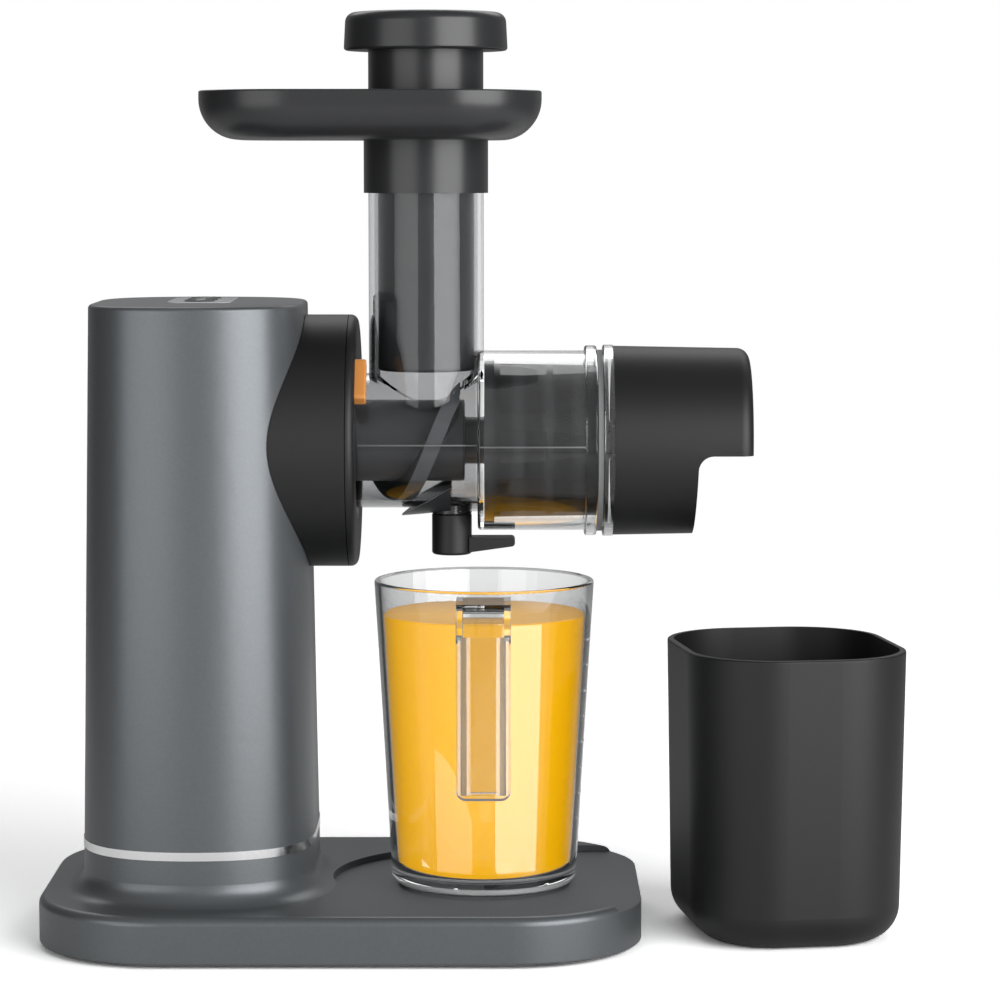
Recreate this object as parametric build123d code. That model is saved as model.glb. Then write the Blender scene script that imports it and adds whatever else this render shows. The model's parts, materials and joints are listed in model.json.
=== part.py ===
from build123d import *
import math
import os

# Cold press juicer. Millimetres, +Z up. The sizes below are in the tower's own frame: X = 0 and Y = 0 on the
# tower's vertical axis, the auger runs along +X, the front faces -Y, and Z = 0 is the surface it stands on.
# Each finished node is moved along X at the end, so that the origin is under the middle of the whole set.

# ---- driving dimensions: clearances -------------------------------------------------------------------------
SEAT_GAP = 0.3          # between separate pieces that sit in or on one another
SLIDE_GAP = 0.6         # round a piece that slides in a guide
SHAFT_GAP = 0.05        # radial running fit of a shaft
AUGER_GAP = 0.5         # between the flights and the barrel

# ---- driving dimensions: base -------------------------------------------------------------------------------
BASE_LEFT = 63.4        # tower axis to the left end
BASE_RIGHT = 178.6      # tower axis to the right end
BASE_DEPTH = 168.0
BASE_CORNER = 52.0
BASE_BOTTOM = 1.5
BASE_TOP = 20.5
BASE_WALL = 2.6
BASE_EDGE = 3.5         # rounding of the top edge
BASE_LOWER_EDGE = 1.2
WELL_RADIUS = 62.0      # recess that the jug stands in
WELL_DEPTH = 2.5
FOOT_FLARE_SHARE = 0.38 # concave rounding of the tower's foot, as a share of the base's rim round it
FLARE_STEPS = 4
PLATE_THICK = 2.0
PAD_RADIUS = 9.0
PAD_INSET = 27.0
SLOTS = 7               # air slots in the bottom plate
SLOT_FROM_MIDDLE = 19.0
SLOT_PITCH = 7.0
SLOT_LENGTH = 40.0
SLOT_WIDTH = 3.0
GLAND_RADIUS = 4.2
GLAND_LIP = 1.0
GLAND_BORE = 2.9
GLAND_Z = 10.1

# ---- driving dimensions: tower ------------------------------------------------------------------------------
FOOT_TOP = 38.5         # top of the grey foot, where the band starts
BAND_HEIGHT = 3.4
BAND_PROUD = 0.25
TOWER_TOP = 256.0
TOWER_WIDTH = 93.2      # at the band
TOWER_DEPTH = 124.0     # at the band
TOWER_TAPER = 3.8       # each side, from the band to the top
TOWER_FLAT = 16.0       # half length of the flat sides
SHOULDER_ACROSS = 0.795 # fullness of the rounded front and back: share of the half width
SHOULDER_ALONG = 0.705  # at this share of the way from the flat side to the front
TOWER_WALL = 2.8
COVER_THICK = 3.0
COVER_EDGE = 1.6
SPIGOT_HEIGHT = 8.0
SPIGOT_WALL = 2.4
SPIGOT_ROOT = 3.0

# ---- driving dimensions: control panel ----------------------------------------------------------------------
PANEL_WIDTH = 26.0
PANEL_LENGTH = 52.0
PANEL_Y = 16.0
PANEL_THICK = 1.6
PANEL_PROUD = 0.3
BUTTON_RADIUS = 6.2
BUTTON_PITCH = 16.0
BUTTON_COUNT = 3
BUTTON_PROUD = 0.5
BUTTON_TRAVEL = 0.9
BUTTON_FLANGE = 1.2
BUTTON_STEM = 5.0
PANEL_CORNER = 5.0
LIP_DEPTH = 6.0
LIP_THICK = 2.0
BOARD_THICK = 1.6
BOARD_POST_RADIUS = 2.5
SWITCH_WIDTH = 6.0
SWITCH_BODY = 2.6
SWITCH_PLUNGER = 1.7
SWITCH_STROKE = 0.8
CONTROL_WIDTH = 66.0
CONTROL_LENGTH = 76.0
CONTROL_POST = 3.2
CONTROL_Z = 20.0
TRANSFORMER = (24.0, 22.0, 18.0)
CAPACITOR_RADIUS = 8.0
CAPACITOR_HEIGHT = 20.0
RELAY_BLOCK = (30.0, 12.0, 12.0)

# ---- driving dimensions: hub --------------------------------------------------------------------------------
AXIS_Z = 199.8          # height of the auger's axis
HUB_RADIUS = 51.1
HUB_FACE = 64.2
HUB_EDGE = 3.0
HUB_WALL = 3.0
FACE_THICK = 3.4
SOCKET_RADIUS = 33.0
SOCKET_DEPTH = 9.0
SOCKET_WALL = 2.6
HUB_OPENING = 44.0      # hole in the tower shell behind the hub
HUB_BOSS = 4.0
HUB_BOSS_RADIUS = 30.0
HUB_SCREW = 1.7
TAB_ANGLE = 38.0        # above the horizontal, towards the front
TAB_RADIUS = 42.0       # from the axis to the middle of the tab
TAB_LENGTH = 19.0
TAB_WIDTH = 6.0
TAB_PROUD = 4.4
TAB_TRAVEL = 2.5
TAB_FLANGE = 1.6
TAB_STEM = 2.1
LEAF_THICK = 0.5
LEAF_WIDTH = 5.0
LEAF_ROOM = 3.7         # left for the leaf when the tab is pressed in
SWITCH_ANGLE = 15.0

# ---- driving dimensions: drive ------------------------------------------------------------------------------
PINION_TEETH = 10
WHEEL_TEETH = 56
SMALL_TEETH = 12
OUTPUT_TEETH = 48
FIRST_MODULE = 1.0
LAST_MODULE = 1.5
FIRST_FACE = 8.0        # face widths of the two gear pairs
LAST_FACE = 14.0
BACKLASH = 0.24         # share of the circular pitch left open
ADDENDUM = 0.85         # in modules
DEDENDUM = 1.25
PRESSURE_ANGLE = math.radians(20.0)
WHEEL_RIM = 3.5
WHEEL_POCKET = 2.5
SMALL_HUB = 11.0
CASE_WALL = 3.0
CASE_LEFT = -4.0        # left face of the gear case
CASE_MARGIN = 2.0
CASE_EAR = 4.0
CASE_SCREW = 1.5
CASE_SCREW_DEPTH = 10.0
MOTOR_RADIUS = 29.0
MOTOR_LENGTH = 31.0
BELL_LENGTH = 5.0
MOTOR_SHAFT = 2.5
MOTOR_SCREW_REACH = 16.0
COOLING_SLOTS = 8
AXLE_SEAT = 2.0
SEAL_WIDTH = 2.0
AXLE_RADIUS = 3.0
OUTPUT_SHAFT = 8.5
BEARING_WALL = 5.5
BEARING_WIDTH = 8.0
HEX_ACROSS = 12.0
HEX_LENGTH = 13.0
SEAL_WALL = 3.0

# ---- driving dimensions: juicing chamber --------------------------------------------------------------------
CHAMBER_WALL = 2.4
FEED_RADIUS = 27.3
PARTITION_X = 107.4
FILTER_LEFT = 112.7
FILTER_RADIUS = 36.4
FILTER_END = 155.9
RING_RADIUS = 38.5
RING_A_WIDTH = 4.8
NECK_WIDTH = 2.6
RING_B_WIDTH = 4.0
FLANGE_RADIUS = 32.4
FLANGE_DEPTH = 8.0
BACK_WALL = 4.0
SHOULDER_ROUND = 1.2
PARTITION_RIB = 1.6
JOURNAL_RADIUS = 10.0
JOURNAL_LENGTH = 2.0
CHUTE_X = 91.8
CHUTE_RADIUS = 23.25
CHUTE_WALL = 2.3
SPOUT_X = 102.1
SPOUT_RADIUS = 8.1
SPOUT_BOTTOM = 153.4
SPOUT_CUP_DROP = 2.5    # rim of the turning cap below the feed barrel
SPOUT_TUBE = 6.2
SPOUT_TUBE_BOTTOM = 155.8
SPOUT_BORE = 4.2
SPOUT_DRAIN = 3.6
LEVER_TIP = 127.8
LEVER_TOP = 160.6
LEVER_HALF = 5.0

# ---- driving dimensions: auger and filter -------------------------------------------------------------------
AUGER_ROOT = 16.5
AUGER_NECK = 9.5         # between the feed flight and the press section
AUGER_PITCH = 62.0
AUGER_START = 349.5
FLIGHT_THICK = 6.0
BLADE_START = 4.0       # from the auger's left face
BLADE_STOP = 2.0        # before the neck
PRESS_PITCH = 14.0
PRESS_FLIGHT = 3.0
PRESS_ROOT = 23.0
PRESS_ROOT_END = 22.0
PRESS_START = 90.0
NOSE_RADIUS = 6.0
AUGER_END = 171.5
BASKET_WALL = 1.6
SIEVE_THICK = 0.7       # pierced skin left in the windows between the ribs
BASKET_LEFT_RADIUS = 31.2
BASKET_RIGHT_RADIUS = 30.4
BASKET_COLLAR = 33.6
BASKET_END = 163.0
BASKET_RIBS = 10
BASKET_RINGS = 2
BASKET_SPOKES = 3
WINDOW_WIDTH = 13.0

# ---- driving dimensions: pulp end cap -----------------------------------------------------------------------
CAP_RIGHT = 222.6
CAP_RADIUS = 38.4
CAP_WALL = 2.4
CAP_EDGE = 5.0
CAP_SLOPE = 1.0
NOTCH_LEAN = 2.5
OUTLET_MARGIN = 4.0
NOTCH_X = 200.8
NOTCH_Z = 196.2
NOTCH_ROUND = 6.0

# ---- driving dimensions: feed tray and pusher ---------------------------------------------------------------
TRAY_LEFT = 1.8
TRAY_RIGHT = 138.3
TRAY_DEPTH = 112.0
TRAY_CORNER = 38.0
TRAY_TOP = 340.6
TRAY_BOTTOM = 321.2
TRAY_FLOOR_ROUND = 16.0
TRAY_WALL = 2.4
COLLAR_RADIUS = 25.1
COLLAR_BOTTOM = 300.0
CHUTE_TOP = 320.9
STOP_RADIUS = 23.2
PUSHER_RADIUS = 19.4
PUSHER_BOTTOM = 228.4
PUSHER_WALL = 2.0
CAP_DISC_RADIUS = 33.0
CAP_DISC_DRAFT = 0.8
CAP_DISC_BOTTOM = 357.0
CAP_DISC_TOP = 372.2
CAP_DISC_EDGE = 4.0
CAP_DISC_LOWER_EDGE = 1.2
PLUG_DEPTH = 8.0

# ---- driving dimensions: jug --------------------------------------------------------------------------------
JUG_X = 115.2
JUG_TOP_RADIUS = 44.8
JUG_BOTTOM_RADIUS = 37.6
JUG_TOP = 143.0
JUG_WALL = 2.4
JUG_FLOOR = 5.0
HANDLE_WIDTH = 21.4
HANDLE_REACH = 31.0
HANDLE_BOTTOM = 65.0
HANDLE_TOP = 141.0
HANDLE_CHANNEL = 8.0
HANDLE_WALL = 2.6
HANDLE_ROUND = 7.0
HANDLE_CORNER = 4.0
BRIDGE_HEIGHT = 14.0

# ---- driving dimensions: pulp container ---------------------------------------------------------------------
BIN_X = 237.9
BIN_Y = -6.0
BIN_WIDTH = 89.2        # at the rim
BIN_DEPTH = 103.5
BIN_CORNER = 34.0
BIN_TURN = 9.0
BIN_TOP = 117.3
BIN_TAPER = 2.0         # each side, from the rim to the floor
BIN_WALL = 2.6
BIN_FLOOR_ROUND = 14.0

# ---- sizes that follow --------------------------------------------------------------------------------------
FOOT_FLARE = FOOT_FLARE_SHARE * (BASE_DEPTH - TOWER_DEPTH) / 2
BAND_TOP = FOOT_TOP + BAND_HEIGHT
SHELL_TOP = TOWER_TOP - COVER_THICK
WELL_FLOOR = BASE_TOP - WELL_DEPTH
JUG_BOTTOM = WELL_FLOOR
BASE_MID_X = (BASE_RIGHT - BASE_LEFT) / 2
BASE_LENGTH = BASE_RIGHT + BASE_LEFT
BIN_ACROSS = (BIN_WIDTH / 2 - BIN_CORNER) * math.cos(math.radians(BIN_TURN))
BIN_LEAN = (BIN_DEPTH / 2 - BIN_CORNER) * math.sin(math.radians(BIN_TURN))
BIN_HALF = BIN_ACROSS + BIN_LEAN + BIN_CORNER
ORIGIN_X = (BIN_X + BIN_HALF - BASE_LEFT) / 2

FIRST_CENTRES = FIRST_MODULE * (PINION_TEETH + WHEEL_TEETH) / 2
LAST_CENTRES = LAST_MODULE * (SMALL_TEETH + OUTPUT_TEETH) / 2
IDLER_Z = AXIS_Z - LAST_CENTRES
MOTOR_Z = IDLER_Z - FIRST_CENTRES

CASE_INNER_LEFT = CASE_LEFT + CASE_WALL
FIRST_LEFT = CASE_INNER_LEFT + 1.5
LAST_LEFT = FIRST_LEFT + FIRST_FACE + 1.5
LAST_RIGHT = LAST_LEFT + LAST_FACE
CASE_INNER_RIGHT = LAST_RIGHT + 1.5
CASE_RIGHT = CASE_INNER_RIGHT + CASE_WALL

CASE_FILL = CASE_MARGIN + CASE_WALL
OUTPUT_CASE_RADIUS = LAST_MODULE * (OUTPUT_TEETH / 2 + ADDENDUM) + CASE_FILL
IDLER_CASE_RADIUS = FIRST_MODULE * (WHEEL_TEETH / 2 + ADDENDUM) + CASE_FILL
MOTOR_CASE_RADIUS = MOTOR_RADIUS + 1
BEARING_RADIUS = OUTPUT_SHAFT + BEARING_WALL

PANEL_TOP = TOWER_TOP + PANEL_PROUD
PANEL_BOTTOM = PANEL_TOP - PANEL_THICK
FLANGE_TOP = SHELL_TOP - SEAT_GAP
SWITCH_TOP = FLANGE_TOP - BUTTON_FLANGE - BUTTON_TRAVEL - 2.0
BOARD_TOP = SWITCH_TOP - SWITCH_STROKE - SWITCH_BODY

FACE_BACK = HUB_FACE - FACE_THICK
FLANGE_BACK = FACE_BACK - SEAT_GAP - TAB_FLANGE
TAB_BACK = FLANGE_BACK - TAB_STEM
HUB_FLOOR = TAB_BACK - TAB_TRAVEL - LEAF_ROOM - HUB_WALL
CUP_FLOOR = HUB_FACE - SOCKET_DEPTH
CUP_FLOOR_LEFT = CUP_FLOOR - SOCKET_WALL
NECK_RADIUS = BEARING_RADIUS + 3.0
NECK_RIGHT = CUP_FLOOR
DRIVE_END = CUP_FLOOR + 1.8

FLANGE_LEFT = CUP_FLOOR + SEAT_GAP
FLANGE_RIGHT = FLANGE_LEFT + FLANGE_DEPTH
CHAMBER_BACK = FLANGE_LEFT + BACK_WALL
SPOUT_BODY_TOP = AXIS_Z - FEED_RADIUS - SPOUT_CUP_DROP
AUGER_LEFT = CHAMBER_BACK + SEAL_WIDTH + SEAT_GAP
NECK_LEFT = FILTER_END + RING_A_WIDTH
NECK_OUTER = FILTER_RADIUS - 0.7
RING_B_LEFT = NECK_LEFT + NECK_WIDTH
CAP_LEFT = RING_B_LEFT + RING_B_WIDTH
NECK_END = CAP_LEFT + 4.0
TRAY_FLOOR = TRAY_BOTTOM + TRAY_WALL
AUGER_RADIUS = FEED_RADIUS - CHAMBER_WALL - AUGER_GAP
FRONT = Axis((0, 0, AXIS_Z), (1, 0, 0))


# ---- shared shapes ------------------------------------------------------------------------------------------
def across(x, y=0.0, z=AXIS_Z):
    """Plane square to the auger's axis, with its own x towards the back and its own y upwards."""
    return Plane(origin=(x, y, z), x_dir=(0, 1, 0), z_dir=(1, 0, 0))


def rod(left, right, radius, y=0.0, z=AXIS_Z):
    """Solid round bar along X."""
    return extrude(across(left, y, z) * Circle(radius), amount=right - left)


def tube(left, right, radius, bore, y=0.0, z=AXIS_Z):
    """Round tube along X."""
    return rod(left, right, radius, y, z) - rod(left - 1, right + 1, bore, y, z)


def post(x, y, bottom, top, radius):
    """Solid round bar along Z."""
    return extrude(Plane.XY.offset(bottom) * Pos(x, y) * Circle(radius), amount=top - bottom)


def turned_on_axis(points, rounds=0.0):
    """Profile given as (x, radius), turned about the auger's axis."""
    outline = FilletPolyline([(x, 0, AXIS_Z + r) for x, r in points], radius=rounds, close=True)
    return revolve(make_face(outline), axis=FRONT)


def turned_upright(points, x, rounds=0.0):
    """Profile given as (radius, z), turned about a vertical axis at x."""
    outline = FilletPolyline([(x + r, 0, z) for r, z in points], radius=rounds, close=True)
    return revolve(make_face(outline), axis=Axis((x, 0, 0), (0, 0, 1)))


def block(x0, x1, y0, y1, z0, z1):
    """Rectangular solid between two corners."""
    return Pos((x0 + x1) / 2, (y0 + y1) / 2, (z0 + z1) / 2) * Box(x1 - x0, y1 - y0, z1 - z0)


def screw(left, right, radius, head_radius, head_height, y, z):
    """Pan head screw along X with its head at the right end."""
    shank = rod(left, right, radius, y, z)
    return shank + rod(right, right + head_height, head_radius, y, z)


# ---- tower plan ---------------------------------------------------------------------------------------------
def tower_plan(z, grow=0.0):
    """Cross-section of the tower at height z: flat sides joined by full, rounded ends at the front and the back."""
    share = (z - FOOT_TOP) / (TOWER_TOP - FOOT_TOP)
    half_width = TOWER_WIDTH / 2 - TOWER_TAPER * share + grow
    half_depth = TOWER_DEPTH / 2 - TOWER_TAPER * share + grow
    shoulder_x = SHOULDER_ACROSS * half_width
    shoulder_y = TOWER_FLAT + SHOULDER_ALONG * (half_depth - TOWER_FLAT)

    def quarter(side_x, side_y):
        points = [
            (side_x * half_width, side_y * TOWER_FLAT), (side_x * shoulder_x, side_y * shoulder_y),
            (0, side_y * half_depth),
        ]
        return Spline(points, tangents=[(0, side_y), (-side_x, 0)])

    quarters = [quarter(side_x, side_y) for side_x in (-1, 1) for side_y in (-1, 1)]
    sides = [Line((x, -TOWER_FLAT), (x, TOWER_FLAT)) for x in (-half_width, half_width)]
    return Plane.XY.offset(z) * make_face(Curve() + quarters + sides)


def tower_block(bottom, top, grow=0.0):
    """Tapered solid of the tower's section between two heights."""
    return loft([tower_plan(bottom, grow), tower_plan(top, grow)], ruled=True)


# ---- base ---------------------------------------------------------------------------------------------------
def base_plan(z, inset=0.0):
    """Rounded rectangle of the base at height z."""
    shape = RectangleRounded(BASE_LENGTH - 2 * inset, BASE_DEPTH - 2 * inset, BASE_CORNER - inset)
    return Plane.XY.offset(z) * Pos(BASE_MID_X, 0) * shape


def well_block(bottom, top, inset=0.0):
    """Space of the jug's well: round at the tower's side and open at the right end."""
    radius = WELL_RADIUS - inset
    disc = Pos(JUG_X, 0) * Circle(radius)
    run = BASE_RIGHT - JUG_X + 2 * BASE_CORNER
    open_end = Pos(JUG_X + run / 2, 0) * Rectangle(run, 2 * radius)
    return extrude(Plane.XY.offset(bottom) * (disc + open_end), amount=top - bottom)


def pad_places():
    """Centres of the four feet."""
    half_depth = BASE_DEPTH / 2 - PAD_INSET
    return [(x, y) for x in (-BASE_LEFT + PAD_INSET, BASE_RIGHT - PAD_INSET) for y in (-half_depth, half_depth)]


def plate_screw_places():
    """Screws that hold the bottom plate, beside the feet."""
    return [(x + math.copysign(PAD_RADIUS + 8, BASE_MID_X - x), y) for x, y in pad_places()]


def foot_flare():
    """Concave skirt that carries the tower's sides out onto the base."""
    turns = [math.radians(90 * i / FLARE_STEPS) for i in range(FLARE_STEPS + 1)]
    rises = [FOOT_FLARE * (1 - math.cos(turn)) for turn in turns]
    return loft([tower_plan(BASE_TOP + rise, FOOT_FLARE * (1 - math.sin(turn))) for rise, turn in zip(rises, turns)])


def base_housing():
    slab = extrude(base_plan(BASE_BOTTOM), amount=BASE_TOP - BASE_BOTTOM)
    body = slab + tower_block(BASE_TOP - 1, FOOT_TOP) + foot_flare()
    rim = body.faces().filter_by(lambda f: abs(f.center().Z - BASE_TOP) < 0.01).sort_by(SortBy.AREA)[-1]
    body = fillet(rim.outer_wire().edges(), BASE_EDGE)
    floor = body.faces().sort_by(Axis.Z)[0]
    body = fillet(floor.outer_wire().edges(), BASE_LOWER_EDGE)
    body -= well_block(WELL_FLOOR, BASE_TOP + 1)
    hollow_top = WELL_FLOOR - BASE_WALL
    hollow = extrude(base_plan(BASE_BOTTOM - 1, BASE_WALL + 1), amount=hollow_top - BASE_BOTTOM + 1)
    body -= hollow
    body -= tower_block(hollow_top - 1, FOOT_TOP + 1, -TOWER_WALL)
    spigot_grow = -TOWER_WALL - SEAT_GAP
    spigot = tower_block(FOOT_TOP, BAND_TOP + SPIGOT_HEIGHT, spigot_grow)
    spigot += tower_block(FOOT_TOP - SPIGOT_ROOT, FOOT_TOP, SEAT_GAP - TOWER_WALL)
    spigot -= tower_block(FOOT_TOP - SPIGOT_ROOT - 1, BAND_TOP + SPIGOT_HEIGHT + 1, spigot_grow - SPIGOT_WALL)
    body += spigot
    for x, y in plate_screw_places():
        body += post(x, y, BASE_BOTTOM + PLATE_THICK, hollow_top + 1, 4.0)
        body -= post(x, y, BASE_BOTTOM - 1, hollow_top - 1.5, 1.6)
    gland_y = BASE_DEPTH / 2
    bore = Plane(origin=(0, gland_y + 1, GLAND_Z), z_dir=(0, -1, 0)) * Circle(GLAND_RADIUS + SEAT_GAP)
    body -= extrude(bore, amount=BASE_WALL + 4)
    return body


def cord_gland():
    """Bush in the back wall that a mains lead passes through."""
    outside = BASE_DEPTH / 2 - 0.2
    inside = outside - BASE_WALL - 5

    def disc(radius, at, length):
        return extrude(Plane(origin=(0, at, GLAND_Z), z_dir=(0, -1, 0)) * Circle(radius), amount=length)

    body = disc(GLAND_RADIUS, outside, outside - inside)
    body += disc(GLAND_RADIUS + GLAND_LIP, BASE_DEPTH / 2 - BASE_WALL - 1 - SEAT_GAP, 1.6)
    return body - disc(GLAND_BORE, outside + 1, outside - inside + 2)


def base_plate():
    """Flat cover under the base, with cooling slots and the control board's posts."""
    plate = extrude(base_plan(BASE_BOTTOM, BASE_WALL + 1 + SEAT_GAP), amount=PLATE_THICK)
    for x, y in plate_screw_places():
        plate -= post(x, y, 0, BASE_TOP, 1.5 + SEAT_GAP)
    for x, y in control_board_posts():
        plate += post(x, y, BASE_BOTTOM + 0.5, CONTROL_Z, CONTROL_POST)
        plate -= post(x, y, CONTROL_Z - 5, CONTROL_Z + 1, 1.2 + SHAFT_GAP)
    first = BASE_MID_X + SLOT_FROM_MIDDLE
    slots = [Pos(first + SLOT_PITCH * i, 0) * SlotOverall(SLOT_LENGTH, SLOT_WIDTH, rotation=90) for i in range(SLOTS)]
    return plate - extrude(Plane.XY.offset(BASE_BOTTOM - 1) * Sketch(children=slots), amount=PLATE_THICK + 2)


def rubber_feet():
    """Four round pads under the bottom plate."""
    pads = []
    for x, y in pad_places():
        pad = post(x, y, 0, BASE_BOTTOM, PAD_RADIUS)
        pads.append(chamfer(pad.edges().filter_by(GeomType.CIRCLE).sort_by(Axis.Z)[0], 0.6))
    return pads


def base_screws():
    """Screws up through the bottom plate."""
    screws = []
    for x, y in plate_screw_places():
        shank = post(x, y, BASE_BOTTOM, BASE_BOTTOM + PLATE_THICK + 6, 1.5)
        screws.append(shank + post(x, y, BASE_BOTTOM - 1.4, BASE_BOTTOM, 3.2))
    return screws


# ---- tower --------------------------------------------------------------------------------------------------
def trim_band():
    """Bright ring between the grey foot and the tower shell."""
    return tower_block(FOOT_TOP, BAND_TOP, BAND_PROUD) - tower_block(FOOT_TOP - 1, BAND_TOP + 1, -TOWER_WALL)


def tower_shell():
    shell = tower_block(BAND_TOP, SHELL_TOP)
    shell -= tower_block(BAND_TOP - 1, SHELL_TOP + 1, -TOWER_WALL)
    return shell - rod(0, HUB_FACE, HUB_OPENING)


def panel_outline(grow):
    """Plan of the control panel."""
    shape = RectangleRounded(PANEL_WIDTH + 2 * grow, PANEL_LENGTH + 2 * grow, PANEL_CORNER + grow)
    return Pos(0, PANEL_Y) * shape


def button_places():
    """Centres of the buttons, from the front to the back."""
    first = PANEL_Y - BUTTON_PITCH * (BUTTON_COUNT - 1) / 2
    return [first + BUTTON_PITCH * i for i in range(BUTTON_COUNT)]


def top_cover():
    cover = tower_block(SHELL_TOP, TOWER_TOP)
    cover = fillet(cover.edges().group_by(Axis.Z)[-1], COVER_EDGE)
    lip_grow = -TOWER_WALL - SEAT_GAP
    lip = tower_block(SHELL_TOP - LIP_DEPTH, SHELL_TOP + 0.5, lip_grow)
    lip -= tower_block(SHELL_TOP - LIP_DEPTH - 1, SHELL_TOP + 0.5, lip_grow - LIP_THICK)
    cover += lip
    cover -= extrude(Plane.XY.offset(PANEL_BOTTOM) * panel_outline(SEAT_GAP), amount=TOWER_TOP)
    for x, y in board_posts():
        cover += post(x, y, BOARD_TOP, SHELL_TOP + 0.5, BOARD_POST_RADIUS)
    for y in button_places():
        cover -= post(0, y, SHELL_TOP - 1, TOWER_TOP + 1, BUTTON_RADIUS + SLIDE_GAP / 2)
    return cover


def control_panel():
    """Pale plate let into the top cover, with a hole for each button."""
    plate = extrude(Plane.XY.offset(PANEL_BOTTOM) * panel_outline(0), amount=PANEL_TOP - PANEL_BOTTOM)
    plate = fillet(plate.edges().group_by(Axis.Z)[-1], 0.3)
    for y in button_places():
        plate -= post(0, y, PANEL_BOTTOM - 1, PANEL_TOP + 1, BUTTON_RADIUS + SLIDE_GAP / 2)
    return plate


def button(y):
    """Push button: cap, retaining flange under the cover and stem above its switch."""
    top = PANEL_TOP + BUTTON_PROUD
    cap = post(0, y, FLANGE_TOP - 0.5, top, BUTTON_RADIUS)
    cap = fillet(cap.edges().filter_by(GeomType.CIRCLE).sort_by(Axis.Z)[-1], 0.5)
    cap += post(0, y, FLANGE_TOP - BUTTON_FLANGE, FLANGE_TOP, BUTTON_RADIUS + 1.2)
    return cap + post(0, y, SWITCH_TOP + BUTTON_TRAVEL + 0.1, FLANGE_TOP - 0.5, BUTTON_STEM / 2)


def board_posts():
    """Corners where the button board hangs from the top cover."""
    dx = PANEL_WIDTH / 2 - BOARD_POST_RADIUS
    dy = PANEL_LENGTH / 2 + BOARD_POST_RADIUS
    return [(sx * dx, PANEL_Y + sy * dy) for sx in (-1, 1) for sy in (-1, 1)]


def button_board():
    """Circuit board under the buttons, with one switch for each."""
    length = PANEL_LENGTH + 4 * BOARD_POST_RADIUS
    board = Pos(0, PANEL_Y, BOARD_TOP - BOARD_THICK / 2) * Box(PANEL_WIDTH, length, BOARD_THICK)
    for y in button_places():
        board += Pos(0, y, BOARD_TOP + SWITCH_BODY / 2) * Box(SWITCH_WIDTH, SWITCH_WIDTH, SWITCH_BODY)
        board += post(0, y, BOARD_TOP, SWITCH_TOP, SWITCH_PLUNGER)
    return board


def control_board_posts():
    """Corners of the motor control board on the bottom plate."""
    dx = CONTROL_WIDTH / 2 - CONTROL_POST
    dy = CONTROL_LENGTH / 2 - CONTROL_POST
    return [(sx * dx, sy * dy) for sx in (-1, 1) for sy in (-1, 1)]


def control_board():
    """Motor control board, with its transformer, capacitor and power switch block."""
    board = Pos(0, 0, CONTROL_Z + BOARD_THICK / 2) * Box(CONTROL_WIDTH, CONTROL_LENGTH, BOARD_THICK)
    top = CONTROL_Z + BOARD_THICK
    for x, y in control_board_posts():
        board -= post(x, y, 0, TOWER_TOP, 1.3)
    board += Pos(-CONTROL_WIDTH / 5, -CONTROL_LENGTH / 5, top + TRANSFORMER[2] / 2) * Box(*TRANSFORMER)
    board += post(CONTROL_WIDTH / 5, -CONTROL_LENGTH / 5, top, top + CAPACITOR_HEIGHT, CAPACITOR_RADIUS)
    board += Pos(0, CONTROL_LENGTH / 4, top + RELAY_BLOCK[2] / 2) * Box(*RELAY_BLOCK)
    return board


def board_screws():
    """Screws that hold the control board on its posts."""
    top = CONTROL_Z + BOARD_THICK
    return [post(x, y, CONTROL_Z - 4, top, 1.2) + post(x, y, top, top + 1.6, 2.4) for x, y in control_board_posts()]


# ---- hub ----------------------------------------------------------------------------------------------------
def hub_boss_places():
    """Bosses that carry the hub on the gear case cover, as (y, z)."""
    step = HUB_BOSS_RADIUS * math.sin(math.radians(45))
    return [(sy * step, AXIS_Z + sz * step) for sy in (-1, 1) for sz in (-1, 1)]


def hub_housing():
    drum = tube(0, FACE_BACK - SEAT_GAP, HUB_RADIUS, HUB_RADIUS - HUB_WALL)
    drum += tube(HUB_FLOOR, HUB_FLOOR + HUB_WALL, HUB_RADIUS - 1, NECK_RADIUS - 1)
    drum -= tower_block(FOOT_TOP, TOWER_TOP, SEAT_GAP)
    drum += tube(CASE_RIGHT, NECK_RIGHT, NECK_RADIUS, BEARING_RADIUS)
    drum -= rod(HUB_FLOOR, HUB_FLOOR + HUB_WALL + 1, BEARING_RADIUS)
    for y, z in hub_boss_places():
        drum += rod(CASE_RIGHT, HUB_FLOOR + 1, HUB_BOSS, y, z)
        drum -= rod(CASE_RIGHT - 1, HUB_FLOOR + HUB_WALL + 1, HUB_SCREW + SEAT_GAP, y, z)
    return drum


def hub_screws():
    """Four long screws through the hub's floor into the gear case cover."""
    right = HUB_FLOOR + HUB_WALL
    return [screw(CASE_RIGHT, right, HUB_SCREW, 3.6, 1.7, y, z) for y, z in hub_boss_places()]


def tab_frame(x):
    """Plane square to the axis at the release tab, with its own x along the hub's radius."""
    angle = math.radians(TAB_ANGLE)
    y = -TAB_RADIUS * math.cos(angle)
    z = AXIS_Z + TAB_RADIUS * math.sin(angle)
    return Plane(origin=(x, y, z), x_dir=(0, -math.cos(angle), math.sin(angle)), z_dir=(1, 0, 0))


def tab_bar(left, right, grow=0.0):
    """Rounded bar with the tab's section."""
    shape = RectangleRounded(TAB_WIDTH + 2 * grow, TAB_LENGTH + 2 * grow, 1.5)
    return extrude(tab_frame(left) * shape, amount=right - left)


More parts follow.
